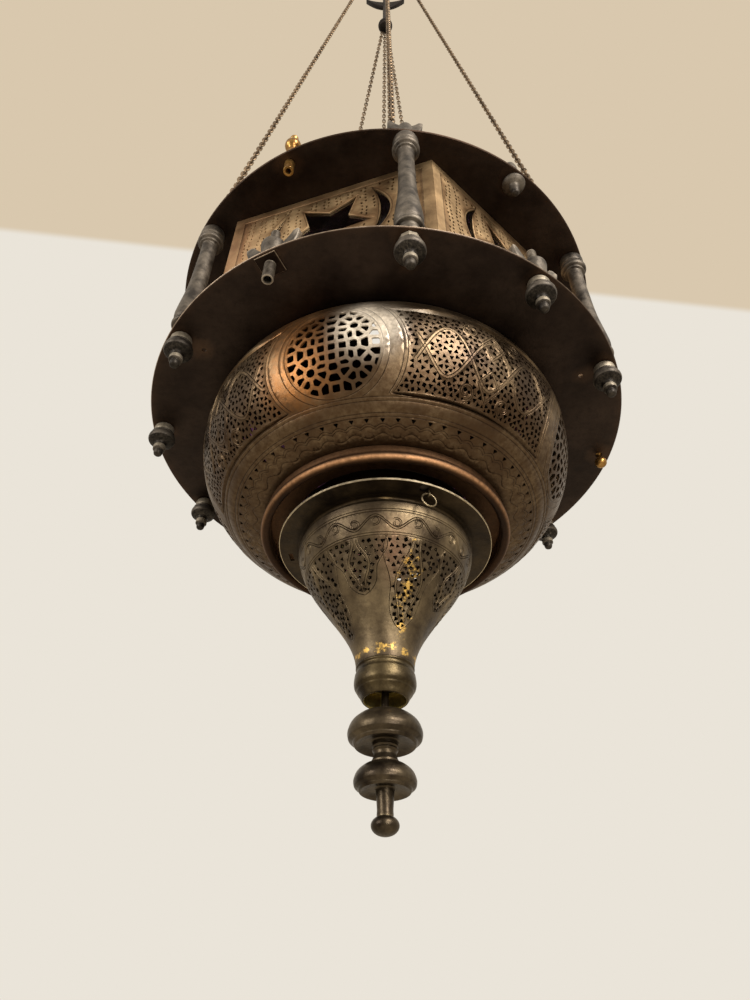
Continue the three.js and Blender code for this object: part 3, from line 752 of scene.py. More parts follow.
DISC_RIM, DISC_SEGMENTS, DISC_HOLE_SEGMENTS = 0.9, 240, 120
# Rings of points inside a disc: from one to the next, along each, their least distance to an edge, and a bin
DISC_GRID, DISC_GRID_STEP, DISC_CLEARANCE, DISC_BIN = 8.5, 9, 3.5, 8.0


def disc(z0, z1, hole_radius, holes, seed):
    """A slightly uneven sheet disc with a rounded rim, pierced at its fasteners."""
    draw = random.Random(seed)
    waves = [(draw.uniform(0, 360), draw.uniform(2, 5), draw.uniform(0.1, 0.22)) for _ in range(5)]
    outer = circle(0, 0, DISC_RADIUS - DISC_RIM, DISC_SEGMENTS)
    inner = circle(0, 0, hole_radius, DISC_HOLE_SEGMENTS)
    verts, faces = [], []
    near = Nearby(DISC_BIN)
    for loop in [outer, inner] + holes:
        faces.append(list(range(len(verts), len(verts) + len(loop))))
        for p in loop:
            verts.append(Vector(p))
            near.add(verts[-1])
    radius = hole_radius + 7
    while radius < DISC_RADIUS - 4:
        count = int(2 * math.pi * radius / DISC_GRID_STEP)
        points = [Vector(p) for p in circle(0, 0, radius, count, 360 * draw.random() / count)]
        verts.extend(p for p in points if near.distance(p) > DISC_CLEARANCE)
        radius += DISC_GRID
    flat, _, tris, _, _, kinds = delaunay_2d_cdt(verts, [], faces, 1, 1e-4, True)
    kept = [list(t) for t, kind in zip(tris, kinds) if kind == [0]]

    def lift(p):
        """How far the uneven sheet rises at a point; it is flat at its hole and its rim."""
        share = clamped((p.length - hole_radius) / 40) * clamped((DISC_RADIUS - p.length) / 12)
        return share * sum(h * math.sin(math.radians(round(k) * (bearing(p) + a))) for a, k, h in waves) * 0.5

    count = len(flat)
    out = [Vector((p.x, p.y, z + lift(p))) for z in (z0, z1) for p in flat]
    shape_faces = [t[::-1] for t in kept] + [[count + i for i in t] for t in kept]
    for a, b in open_edges(kept):
        if flat[a].length < DISC_RADIUS - 2 * DISC_RIM:
            shape_faces.append([a, b, count + b, count + a])
            continue
        chain = [(a, b)]
        for share, height in ((0.3, 0.15), (1.0, 0.5), (0.3, 0.85)):
            for i in (a, b):
                grown = flat[i].normalized() * (DISC_RADIUS - DISC_RIM * (1 - share))
                out.append(Vector((grown.x, grown.y, z0 + (z1 - z0) * height)))
            chain.append((len(out) - 2, len(out) - 1))
        chain.append((count + a, count + b))
        shape_faces += [[p, q, s, r] for (p, q), (r, s) in zip(chain, chain[1:])]
    return merged((out, shape_faces))


def merged(shape, precision=3):
    """Vertices at the same place made one."""
    index, order, verts = {}, [], []
    for v in shape[0]:
        key = tuple(round(c, precision) for c in v)
        if key not in index:
            index[key] = len(verts)
            verts.append(v)
        order.append(index[key])
    faces = []
    for face in shape[1]:
        new = list(dict.fromkeys(order[i] for i in face))
        if len(new) > 2:
            faces.append(new)
    return verts, faces


def make_discs():
    bolt_holes = [circle(*polar(BOLT_RADIUS, BALUSTER_TURN + STATION_STEP * i).xy, BOLT_HOLE, 20)
                  for i in range(12)]
    small_holes = [circle(*polar(DISC_RADIUS - SMALL_HOLE_INSET, baluster_angle(i)).xy, SMALL_HOLE, 16)
                   for i in BALUSTERS]
    lower = disc(0, DISC_THICKNESS, LOWER_DISC_HOLE, bolt_holes + small_holes, 3)
    upper = disc(UPPER_DISC_Z, UPPER_DISC_TOP, UPPER_DISC_HOLE, bolt_holes, 5)
    # Each disc with the strength of its painted highlight
    discs = (("lower_disc", lower, 0, 0.9), ("upper_disc", upper, UPPER_DISC_Z, 0.25))

    def rim(bottom, strength):
        """A painted highlight along the lower edge, brighter on the left."""
        def share(v):
            if math.hypot(v.x, v.y) < DISC_RADIUS - 0.6 or v.z > bottom + DISC_THICKNESS / 2:
                return 0.0
            return strength * (0.65 - 0.45 * v.x / DISC_RADIUS)
        return share

    for name, shape, bottom, strength in discs:
        piece(f"{name}_sheet", shape, DARK_SHEET, "lantern", name, slot="dark_sheet",
              attributes={"rim": rim(bottom, strength)})


# Turned fasteners

BALUSTER = 13.2
ACORN = 13.4
ACORN_LENGTH = 42.0


def baluster_outline():
    """A bead and a foot below, a long swelling shaft, and a bead above."""
    top = UPPER_DISC_Z - DISC_THICKNESS - GAP
    foot = [
        (0.5, 0), (0.62, 0, 0.6), (0.8, 1.4, 1.5), (0.86, 4, 3), (0.78, 7, 1.5), (0.66, 9.4, 1.5),
        (0.7, 13.4, 0.6), (0.97, 14.4, 1.2), (1.02, 17, 2.5), (0.97, 19.6, 1.2), (0.86, 20.6, 0.5),
        (0.86, 22, 0.5), (0.95, 24, 3), (1, 30, 6), (0.93, 42, 12), (0.66, 78, 30),
    ]
    head = [
        (0.585, -42, 30), (0.6, -27, 2), (0.8, -26, 0.8), (0.84, -24.4, 0.8), (0.74, -23.2, 0.6),
        (1, -21.5, 1.4), (1.05, -18.6, 2.6), (0.98, -15.4, 1.4), (0.8, -14.4, 0.6), (0.8, -12.6, 0.6),
        (0.93, -11, 2), (0.97, -4, 4), (0.93, -0.8, 1), (0.86, 0, 0.4),
    ]
    return from_axis(scaled(foot, BALUSTER, GAP) + scaled(head, BALUSTER, top), 4) + [(0, top)]


def acorn_outline():
    """A short cap, a ridge, a shallow bell that is full below, and a small waisted knob."""
    below = [
        (0.74, -0.04, 1), (0.75, -0.17, 1.5), (0.7, -0.215, 0.8), (0.84, -0.235, 0.5), (0.88, -0.26, 0.5),
        (0.84, -0.285, 0.5), (0.97, -0.34, 1.5), (1, -0.42, 1.5), (0.93, -0.48, 1.2), (0.64, -0.525, 2),
        (0.46, -0.55, 1.2), (0.36, -0.62, 1), (0.45, -0.645, 0.5), (0.46, -0.76, 0.6), (0.3, -0.79, 0.6),
        (0.34, -0.84, 1), (0.28, -0.92, 1.2), (0, -0.95),
    ]
    seat = scaled([(0.5, 0), (0.66, 0, 0.6)], ACORN, -GAP)
    return from_axis(seat + scaled(below, ACORN, 0, ACORN_LENGTH), 4)


CAP_END, CAP_FACETS = 0.225, 9


def cut_cap(shape):
    """The same nut with flats filed on its cap."""
    step = 2 * math.pi / CAP_FACETS
    verts = []
    for v in shape[0]:
        share = 1.0
        if -v.z / ACORN_LENGTH < CAP_END:
            turn = (math.atan2(v.y, v.x) % step) - step / 2
            share = math.cos(step / 2) / math.cos(turn)
        verts.append(Vector((v.x * share, v.y * share, v.z)))
    return verts, shape[1]


# Span, rise and saddle height of the wings
UPPER_WINGS = (36.0, 44.0, 34.0)
LOWER_WINGS = (53.0, 38.0, 20.0)
WING_THICKNESS, HORN = 6.0, 0.75
# Radius of the post between the wings, its height on either disc, and the thread on the lower one
BOSS, UPPER_BOSS, LOWER_BOSS, THREAD = 10.0, 27.0, 33.0, 15.0


def crescent_outline(span, rise, steps, inner):
    """Horns up, its back touching z = 0: the lower curve, then the upper one back."""
    out = []
    for control, reverse in ((-rise, False), (inner * rise, True)):
        for k in range(steps + 1):
            t = k / steps
            s = 1 - t if reverse else t
            x = -span / 2 * (1 - s) ** 2 + span / 2 * s * s
            z = rise * (1 - s) ** 2 + 2 * s * (1 - s) * control + rise * s * s
            out.append((x, z))
    return merged_loop(out)


def merged_loop(loop):
    out = []
    for p in loop:
        if not out or (Vector(p) - Vector(out[-1])).length > 0.05:
            out.append(p)
    if (Vector(out[0]) - Vector(out[-1])).length < 0.05:
        out.pop()
    return out


def plump(loop, half, centre, levels=4, swell=0.55):
    """A loop in XZ made a pillowy plate about y = 0: full in the middle, thin at its edge."""
    verts, faces = [], []
    count = len(loop)
    for i in range(2 * levels + 1):
        angle = math.pi * (i / (2 * levels) - 0.5)
        pull = 1 - swell * (1 - math.cos(angle))
        for x, z in loop:
            cx, cz = centre(x)
            verts.append(Vector((cx + (x - cx) * pull, half * math.sin(angle), cz + (z - cz) * pull)))
    last = 2 * levels * count
    for layer in range(0, last, count):
        faces += [[layer + k, layer + n, layer + count + n, layer + count + k]
                  for k, n in zip(range(count), [*range(1, count), 0])]
    return verts, faces + [list(range(count))[::-1], list(range(last, last + count))]


def bent(a, control, b, steps=6):
    """Points of a quadratic curve from a to just before b."""
    shares = [k / steps for k in range(steps)]
    return [tuple((1 - t) ** 2 * p + 2 * t * (1 - t) * q + t * t * r for p, q, r in zip(a, control, b))
            for t in shares]


def wings(span, rise, saddle):
    """Two horns that rise from the nut's foot with a saddle between them, rounded at their edges."""
    half, foot = span / 2, GAP + 1
    right = bent((0, saddle), (0.45 * half, saddle), (HORN * half, rise - 1))
    right += [(HORN * half, rise - 1), (0.86 * half, rise), (0.97 * half, 0.9 * rise)]
    right += bent((half, 0.8 * rise), (half, 0.4 * rise), (0.3 * half, foot))
    right.append((0.3 * half, foot))
    left = [(-x, z) for x, z in right[:0:-1]]

    def spine(x):
        share = abs(x) / half
        low = foot + 0.75 * rise * max(0.0, (share - 0.3) / 0.7) ** 2
        return x, (low + saddle + (rise - saddle) * share * share) / 2

    return plump(right + left, WING_THICKNESS / 2, spine)


def wing_nut():
    r, top = BOSS, UPPER_BOSS
    post = turned(from_axis([
        (0.7 * r, GAP), (0.92 * r, GAP, 0.6), (r, 2, 0.8), (0.98 * r, 4.4, 0.8), (0.86 * r, 5.6, 0.6),
        (0.9 * r, 9, 2), (0.84 * r, 0.8 * top, 3), (0.8 * r, top, 1.5), (0.4 * r, top + 1, 1), (0, top + 1),
    ], 3), 32)
    return join(post, wings(*UPPER_WINGS))


def wing_head():
    """Winged head of a bolt through the lower disc, with the thread's end above it."""
    r, top = BOSS, LOWER_BOSS
    end = top + THREAD
    post = turned(from_axis([
        (0.7 * r, GAP), (r, GAP, 0.6), (1.04 * r, 3, 1), (0.92 * r, 5, 1), (0.94 * r, 0.35 * top, 4),
        (1.1 * r, 0.72 * top, 3), (1.02 * r, 0.8 * top, 1), (0.9 * r, 0.84 * top, 1),
        (0.75 * r, 0.94 * top, 2), (0.45 * r, top, 0.6),
    ], 3) + thread(top + 1.2, end - 1, 1.2, 0.45 * r, 0.4 * r)
        + [(0.4 * r, end - 0.4), (0.3 * r, end), (0, end)], 32)
    return join(post, wings(*LOWER_WINGS))


def nut_light_and_shade(shape, top):
    """Painted highlight on a nut's cap and knob, painted shade under its bell and at its tip; top is the
    nut's upper level.
    """
    nut_highlight, nut_shade = [], []
    for v in shape[0]:
        depth = (top - v.z) / ACORN_LENGTH
        nut_highlight.append(1.0 if 0 < depth < 0.23 or 0.64 < depth < 0.75 else 0.0)
        nut_shade.append(1.0 if 0.47 < depth < 0.63 else (0.7 if depth > 0.78 else 0.0))
    return {"nut_highlight": nut_highlight, "nut_shade": nut_shade}


def make_balusters():
    shaft = turned(baluster_outline(), 48)
    round_nut = turned(acorn_outline(), 45)
    for i in BALUSTERS:
        acorn = round_nut if i else cut_cap(round_nut)
        degrees = baluster_angle(i)
        number = i + 1
        fastener(f"turned_baluster_{number}", shaft, degrees, DISC_THICKNESS, f"baluster_{number}")
        fastener(f"acorn_{number}", acorn, degrees, 0, f"acorn_nut_{number}", sharp=50 if i else 25,
                 attributes=nut_light_and_shade(acorn, 0))
        fastener(f"winged_nut_{number}", wing_nut(), degrees, UPPER_DISC_TOP, f"wing_nut_{number}")


# Numbers of the gaps between balusters that hold something other than the usual bolt
KNOB_PLACE, NIPPLE_PLACE = 1, 5
EYE_PLACES = (2, 3)
KNOB, KNOB_DROP, KNOB_NECK = 6.2, 10.6, 1.8
WASHER, WASHER_THICKNESS, WASHER_BEVEL = 20.0, 1.6, 0.45
# Crest and root of the nipple's thread, its bore, the bore's wider mouth, and its lower end
NIPPLE, NIPPLE_ROOT, NIPPLE_BORE, NIPPLE_MOUTH, NIPPLE_END = 5.0, 4.55, 3.0, 3.6, -26.0
BELOW_DISC = -DISC_THICKNESS - GAP


def knob_shape():
    """A ball on a thin neck below the disc, a button above it."""
    centre = BELOW_DISC - KNOB_DROP
    neck = [(0, BELOW_DISC), (KNOB_NECK + 0.6, BELOW_DISC), (KNOB_NECK, BELOW_DISC - 1.4)]
    ball = arc(0, centre, KNOB, range(60, -90, -10))
    button = from_axis([(4, GAP), (6, GAP, 0.5), (5.6, 2, 1), (3.6, 4.2, 1.2), (0, 5)], 4)
    return join(turned(neck + ball + [(0, centre - KNOB)], 32), turned(button, 32))


def wing_bolt_shape():
    acorn = at(turned(acorn_outline(), 40), 0, 0, -DISC_THICKNESS)
    return join(wing_head(), acorn)


def nipple_shape():
    """An open threaded tube below the disc, under a winged head."""
    top = BELOW_DISC - 1.7
    stem = [(NIPPLE_MOUTH, NIPPLE_END), (4.4, NIPPLE_END)]
    stem += thread(NIPPLE_END + 0.4, BELOW_DISC - 2.4, 0.9, NIPPLE, NIPPLE_ROOT)
    stem += [(NIPPLE, top), (NIPPLE_BORE, top), (NIPPLE_BORE, -10.0), (NIPPLE_MOUTH, -10.0)]
    return join(turned(stem, 28), wing_head())


def bevelled_plate(x, y, height, edge):
    """A square plate standing on z = 0 with softened edges."""
    loop = rectangle(-x / 2, -y / 2, x / 2, y / 2)
    verts, faces = [], []
    for inset, z in ((edge, 0), (0, edge), (0, height - edge), (edge, height)):
        share = 1 - 2 * inset / x
        verts.extend(Vector((px * share, py * share, z)) for px, py in loop)
    for layer in range(3):
        for k in range(4):
            n = (k + 1) % 4
            faces.append([4 * layer + k, 4 * layer + n, 4 * layer + 4 + n, 4 * layer + 4 + k])
    return verts, faces + [[3, 2, 1, 0], [12, 13, 14, 15]]


BOLT_DOME, BOLT_EYE, EYE_WIRE = 37.0, 7.0, 2.0
BALL, BALL_HEIGHT, SMALL_BALL, SMALL_BALL_HEIGHT = 8.6, 39.0, 4.6, 56.0


def finial_bolt_shape(with_eye):
    """A flared skirt with a stem below the disc, a dome above it, on some a wire eye on the dome."""
    skirt = turned(from_axis(shifted([
        (6, 0), (9, 0, 0.5), (9, -1.8, 0.6), (11.4, -3.6, 1), (12, -6.4, 1.2), (9.4, -9.4, 1.6),
        (5.4, -11.8, 1.5), (4.6, -14, 1.5), (4.4, -19, 1), (3.6, -24.4, 1.2), (0, -26),
    ], 0, BELOW_DISC), 4), 36)
    h = BOLT_DOME
    dome = turned(from_axis([
        (5, GAP), (7, GAP, 0.6), (7.2, 4, 1), (6.4, 5.4, 0.6), (6.8, 0.4 * h, 3), (7.6, 0.62 * h, 4),
        (5.6, 0.88 * h, 3), (2.5, 0.98 * h, 2), (0, h),
    ], 4), 32)
    if not with_eye:
        return join(skirt, dome)
    return join(skirt, dome, at(hoop(BOLT_EYE, EYE_WIRE, 32, 10), 0, 0, BOLT_DOME + 0.8 * BOLT_EYE))


def ball_bolt_shape():
    """A post with a large and a small ball above the disc, a plain socket below it."""
    b, s = BALL_HEIGHT, SMALL_BALL_HEIGHT
    post = from_axis([
        (4, GAP), (6.5, GAP, 0.3), (6.4, 1.8, 0.5), (5.2, 3, 0.5), (5, 6.5, 1), (4, 8, 1), (3.8, 18, 2),
        (4.6, 19, 0.4), (4.6, 21, 0.4), (3.8, 22, 1), (4, b - 0.95 * BALL, 1), (0.57 * BALL, b - 0.84 * BALL),
    ], 5)
    post += arc(0, b, BALL, range(-55, 61, 10))
    post += [(3, b + 0.93 * BALL), (2.5, s - 1.2 * SMALL_BALL), (2.7, s - 0.8 * SMALL_BALL)]
    post += arc(0, s, SMALL_BALL, range(-50, 90, 14)) + [(0, s + SMALL_BALL)]
    socket = rounded(shifted([
        (3.0, -16), (5.2, -16, 0.3), (5.2, -15, 0.3), (5.0, -9, 1), (5.2, 0, 0.3), (3.0, 0, 0.1), (3.0, -6),
    ], 0, BELOW_DISC), 3)
    return join(turned(post, 36), turned(socket, 28))


def make_bolts():
    for i in BALUSTERS:
        degrees = between_angle(i)
        number = i + 1
        if i == KNOB_PLACE:
            fastener("small_knob", knob_shape(), degrees, DISC_THICKNESS, "brass_knob",
                     BRIGHT_BRASS, "bright_brass")
        elif i == NIPPLE_PLACE:
            fastener("threaded_nipple", nipple_shape(), degrees, DISC_THICKNESS, "hollow_nipple")
            washer = bevelled_plate(WASHER, WASHER, WASHER_THICKNESS, WASHER_BEVEL)
            # Painted highlight on the washer's four sides
            rim = [0.0] * 4 + [1.0] * 8 + [0.0] * 4
            washer = at_station(washer, degrees, -GAP - WASHER_THICKNESS)
            piece("square_washer", washer, WASHER_SHEET, "lantern", slot="dark_sheet",
                  attributes={"rim": rim})
        else:
            bolt = wing_bolt_shape()
            fastener(f"winged_bolt_{number}", bolt, degrees, DISC_THICKNESS, f"wing_bolt_{number}",
                     attributes=nut_light_and_shade(bolt, -DISC_THICKNESS))
        if i == NIPPLE_PLACE:
            fastener("ball_finial", ball_bolt_shape(), degrees, UPPER_DISC_TOP, "ball_bolt",
                     BRIGHT_BRASS, "bright_brass")
        else:
            fastener(f"skirted_bolt_{number}", finial_bolt_shape(i in EYE_PLACES), degrees, UPPER_DISC_TOP,
                     f"finial_bolt_{number}")


# Glazed box

BOX_RADIUS = 215.0
BOX_APOTHEM = BOX_RADIUS * math.cos(math.pi / 6)
PANE_THICKNESS = 3.0
STAR, STAR_INNER, STAR_DROP = 48.0, 0.46, 66.0
SLOT_CIRCLE, SLOT_WIDTH, SLOT_HALF_ANGLE = 64.0, 10.0, 46.0
PANEL_LOW = GAP
PANEL_HIGH = UPPER_DISC_Z - DISC_THICKNESS - GAP


def star_loop(centre_x, centre_y, grow=0.0):
    corners = []
    for i in range(10):
        radius = (STAR_INNER * STAR + grow) if i % 2 else STAR + 2.2 * grow
        angle = -math.pi / 2 + i * math.pi / 5
        corners.append(Vector((centre_x + radius * math.cos(angle), centre_y + radius * math.sin(angle))))
    out = []
    for a, b in zip(corners, corners[1:] + corners[:1]):
        out.extend(a.lerp(b, k / 5) for k in range(5))
    return out


def slot_loop(side, centre_x, centre_y, grow=0.0):
    """Crescent slot beside the star, its outer edge on the slot circle."""
    half = math.radians(SLOT_HALF_ANGLE)
    tip = Vector((SLOT_CIRCLE * math.cos(half), SLOT_CIRCLE * math.sin(half)))
    control = 2 * SLOT_CIRCLE - tip.x
    out = []
    steps = 14
    grown = tip.y + 1.5 * grow
    for bulge, signs in ((control + 2 * grow, 1), (control - 2 * SLOT_WIDTH - 2 * grow, -1)):
        for k in range(steps):
            t = k / steps
            y = signs * grown * (2 * t - 1)
            x = tip.x * ((1 - t) ** 2 + t * t) + 2 * t * (1 - t) * bulge
            out.append(Vector((centre_x + side * x, centre_y + y)))
    return out


def point_in(loop, p):
    inside = False
    for a, b in zip(loop, loop[1:] + loop[:1]):
        if (a[1] > p[1]) != (b[1] > p[1]) and p[0] < (b[0] - a[0]) * (p[1] - a[1]) / (b[1] - a[1]) + a[0]:
            inside = not inside
    return inside


def slit(x, y, half_width, half_height, lean=0.0):
    """A small upright hole with six corners."""
    points = [(0, -1), (0.9, -0.5), (1, 0.45), (0.1, 1), (-0.95, 0.5), (-0.9, -0.55)]
    return [(x + half_width * px + lean * py, y + half_height * py) for px, py in points]


PANEL_BORDER, PANEL_COLUMN_MARGIN, PANEL_ROW = 11.0, 6.0, 6.6
# Clear metal kept round star and slots, and how far from them their engraved outlines run
STAR_MARGIN, SLOT_MARGIN, STAR_LINE, SLOT_LINE = 3.0, 3.4, 1.6, 1.8


def panel_drawing(seed):
    """Star and slots with engraved outlines, in a field of slits that stand in leaning pairs of columns."""
    width = BOX_RADIUS - GAP
    height = PANEL_HIGH - PANEL_LOW
    draw = random.Random(seed)
    drawing = Drawing(width, height, 6.0)
    cx, cy = width / 2, height - STAR_DROP

    def openings(star_grow, slot_grow):
        return [star_loop(cx, cy, star_grow)] + [slot_loop(side, cx, cy, slot_grow) for side in (1, -1)]

    keep_out = openings(STAR_MARGIN, SLOT_MARGIN)
    for loop in openings(0.0, 0.0):
        drawing.hole(loop, 0.3)
    for loop in openings(STAR_LINE, SLOT_LINE):
        drawing.line([tuple(p) for p in loop] + [tuple(loop[0])], 0.5, 0.3)
    border = PANEL_BORDER
    frame_line = rectangle(border, border, width - border, height - border)
    drawing.line(frame_line + frame_line[:1], 0.6, 0.35)
    column = border + PANEL_COLUMN_MARGIN
    pair = 0
    while column < width - border - 4:
        y = border + 5.0 + 2.5 * (pair % 2)
        while y < height - border - 4:
            x = column + 1.2 * math.sin(y / 11.0 + pair // 2) + draw.uniform(-0.4, 0.4)
            probes = ((x, y - 2.6), (x, y + 2.6), (x - 2.0, y), (x + 2.0, y))
            blocked = any(point_in(loop, probe) for loop in keep_out for probe in probes)
            if not blocked and draw.random() < 0.93:
                sizes = draw.uniform(1.0, 1.4), draw.uniform(1.7, 2.4), draw.uniform(-0.6, 0.6)
                drawing.hole(slit(x, y, *sizes), 0.25)
            y += PANEL_ROW
        column += 4.8 if pair % 2 == 0 else 9.0
        pair += 1
    return drawing


def make_box():
    width = BOX_RADIUS - GAP
    slope = math.tan(math.pi / 6)
    pane_front = PANEL_THICKNESS + GAP
    for i in range(6):
        degrees = BOX_TURN + 30 + 60 * i
        out, side = polar(1, degrees), polar(1, degrees - 90)
        start = out * BOX_APOTHEM
        number = i + 1

        def place(x, y, depth):
            across = x - width / 2
            across *= 1 - depth * slope / (width / 2)
            return start + side * -across - out * depth + Vector((0, 0, DISC_THICKNESS + PANEL_LOW + y))

        def reddish(v):
            """Redder to one side, on the first panel the left one."""
            return clamped((v.dot(side) * (1 if i else -1) - 62) / 30)

        drawing = panel_drawing(11 + i)
        piece(f"pierced_panel_{number}", thick(drawing, place, PANEL_THICKNESS), PANEL_BRASS, "lantern",
              f"box_panel_{number}", slot="panel_brass",
              attributes={"copper": reddish, "groove": drawing.engraving})
        pane = Drawing(width, PANEL_HIGH - PANEL_LOW, 12.0)
        shape = thick(pane, lambda x, y, d: place(x, y, d + pane_front), PANE_THICKNESS)
        piece(f"purple_pane_{number}", shape, PURPLE_GLASS, "lantern", f"glass_pane_{number}",
              slot="purple_glass")


# Bowl

BOWL_RADIUS, BOWL_NECK, BOWL_FLAT = 180.7, 167.0, 112.0
BOWL_DEPTH, BOWL_BELLY, BOWL_LIP = 120.0, 38.0, 12.0
MEDALLION_TURN = -104.5
MEDALLION_S = 70.5
MEDALLION = (41.0, 43.5)
RING_LINES = (43.2, 48.5, 60.0)
RING_TOP, RING_BOTTOM = 26.0, 116.6
CARTOUCHE = (30.0, 115.5)
CARTOUCHE_END = 63.5
# Engraved levels as distances down the profile: below the rim, and above and below the band of scallops
RIM_LEVELS = (7.0, 24.0)
BAND_LEVELS = (118.0, 121.3, 131.0, 134.2)
SCALLOPS = 66
SCALLOP = ((-2.9, 136.0), (-1.4, 135.6), (1.5, 135.7), (2.8, 136.2), (1.0, 138.3), (0, 139.4), (-1.1, 138.1))
GARLAND_Y, GARLAND_DROP, GARLAND_APART = 143.4, 3.2, 2.4
GARLAND_VINE_Y, GARLAND_VINE_RISE = 151.5, 2.6
# Width of the straps between the lattice's holes, and the least hole that is cut
STRAP, LEAST_HOLE = 3.0, 5.0
# Strapwork of the cartouches: two waves, four scrolls, two lozenges, each with half the width of its band
WAVE_RISE, WAVE_PERIOD, WAVE_BAND = 24, 84, 1.3
SCROLL_X, SCROLL_Y, SCROLL, SCROLL_SHRINK, SCROLL_TURN, SCROLL_BAND = 21, 31, 8.5, 0.36, 24, 0.9
LOZENGE, LOZENGE_BAND = ((0, -34), (11, -20), (0, -6), (-11, -20), (0, -34)), 1.0
# Copper patina of the front medallion, and the painted highlight on its right half: bearing and reach of
# each, and the highlight's height
COPPER_BEARING = (-115, 17)
HIGHLIGHT_BEARING, HIGHLIGHT_HEIGHT = (-95, 13), (-44, 44)


class Shell:
    """A thin turned shell drawn flat: x runs round it at a reference radius, y down its profile."""

    def __init__(self, profile, reference, step, turn):
        self.profile, self.reference, self.turn = profile, reference, turn
        self.width = 2 * math.pi * reference
        self.drawing = Drawing(self.width, profile.length, step, wraps=True)

    def spread(self, x0, dx, y):
        """A distance across the metal as a distance in the drawing."""
        return x0 + dx * self.reference / self.profile.radius(y)

    def level(self, y, steps, half_width, depth):
        self.drawing.line([(self.width * k / steps, y) for k in range(steps + 1)], half_width, depth)

    def place(self, x, y, depth):
        at_y = self.profile.place(y, depth)
        return polar(at_y.x, self.turn + 360 * x / self.width, at_y.y)

    def hole(self, loop, rim):
        """A hole that may lie past the drawing's ends; one that would straddle them is left out."""
        middle_x = sum(x for x, _ in loop) / len(loop)
        shift = self.width if middle_x < 0 else (-self.width if middle_x >= self.width else 0)
        loop = [(x + shift, y) for x, y in loop]
        if min(x for x, _ in loop) > 0.05 and max(x for x, _ in loop) < self.width - 0.05:
            self.drawing.hole(loop, rim)


def bowl_profile():
    points = []
    for k in range(41):
        angle = math.pi / 2 * k / 40
        points.append((BOWL_NECK + (BOWL_RADIUS - BOWL_NECK) * math.sin(angle),
                       -BOWL_BELLY + (BOWL_BELLY - GAP) * math.cos(angle)))
    for k in range(1, 81):
        angle = math.pi / 2 * k / 80
        points.append((BOWL_FLAT + (BOWL_RADIUS - BOWL_FLAT) * math.cos(angle),
                       -BOWL_BELLY - (BOWL_DEPTH - BOWL_BELLY) * math.sin(angle)))
    points.append((BOWL_FLAT - BOWL_LIP, -BOWL_DEPTH))
    return Profile(points)


def clip(polygon, point, normal):
    """The part of a convex polygon on the side that the normal points away from."""
    out = []
    for a, b in zip(polygon, polygon[1:] + polygon[:1]):
        fa, fb = (a - point).dot(normal), (b - point).dot(normal)
        if fa <= 0:
            out.append(a)
        if (fa < 0 < fb) or (fb < 0 < fa):
            out.append(a.lerp(b, fa / (fa - fb)))
    return out


def area(polygon):
    return 0.5 * abs(sum(a.x * b.y - a.y * b.x for a, b in zip(polygon, polygon[1:] + polygon[:1])))


def softened(polygon, share=0.13):
    out = []
    for a, b in zip(polygon, polygon[1:] + polygon[:1]):
        out += [a.lerp(b, share), a.lerp(b, 1 - share)]
    return out


def lattice_cells(seeds, half_size, strap, least):
    """A hole round each seed, bounded half a strap from the lines between neighbours."""
    rim = [Vector(p) for p in arc(0, 0, half_size[0], [7.5 * k for k in range(48)], half_size[1])]
    cells = []
    for seed in seeds:
        polygon = [seed + Vector(p) for p in ((-9, -9), (9, -9), (9, 9), (-9, 9))]
        for other in seeds:
            gap = other - seed
            if 0 < gap.length < 20:
                normal = gap.normalized()
                polygon = clip(polygon, seed + gap / 2 - normal * strap / 2, normal)
        for a, b in zip(rim, rim[1:] + rim[:1]):
            if polygon:
                polygon = clip(polygon, a, Vector(((b - a).y, -(b - a).x)).normalized())
        if len(polygon) > 2 and area(polygon) > least:
            cells.append(softened(polygon))
    return cells


def medallion_seeds(draw):
    """A square grid with four eight-petalled stars let into it, either side of a cross of plain cells."""
    pitch, star, star_place = 9.3, 10.2, 19.6
    stars = [Vector((x, y)) for x in (-star_place, star_place) for y in (-star_place, star_place)]
    seeds = []
    for i in range(-5, 6):
        for j in range(-5, 6):
            p = Vector((i * pitch, j * pitch))
            if any((p - s).length < star + 3.4 for s in stars):
                continue
            if i and j:
                p += Vector((draw.uniform(-0.8, 0.8), draw.uniform(-0.8, 0.8)))
            seeds.append(p)
    for s in stars:
        seeds.append(s)
        seeds.extend(s + Vector(polar(star, 22.5 + 45 * k + draw.uniform(-4, 4)).xy) for k in range(8))
    return seeds


def wave(x0, x1, middle_y, height, period, phase, step=2.0):
    count = max(2, int((x1 - x0) / step))
    return [(x0 + (x1 - x0) * k / count,
             middle_y + height * math.sin(2 * math.pi * (x0 + (x1 - x0) * k / count) / period + phase))
            for k in range(count + 1)]


def chip(x, y, size, draw):
    """A small rough hole with three or four cut corners."""
    corners = draw.choice((3, 3, 4))
    turn = draw.uniform(0, 120)
    reach = size * (1.0 if corners == 3 else 0.85)
    points = [Vector((x, y)) + Vector(polar(reach * draw.uniform(0.85, 1.1), turn + 360 / corners * k).xy)
              for k in range(corners)]
    return [tuple(p) for p in softened(points, 0.14)]


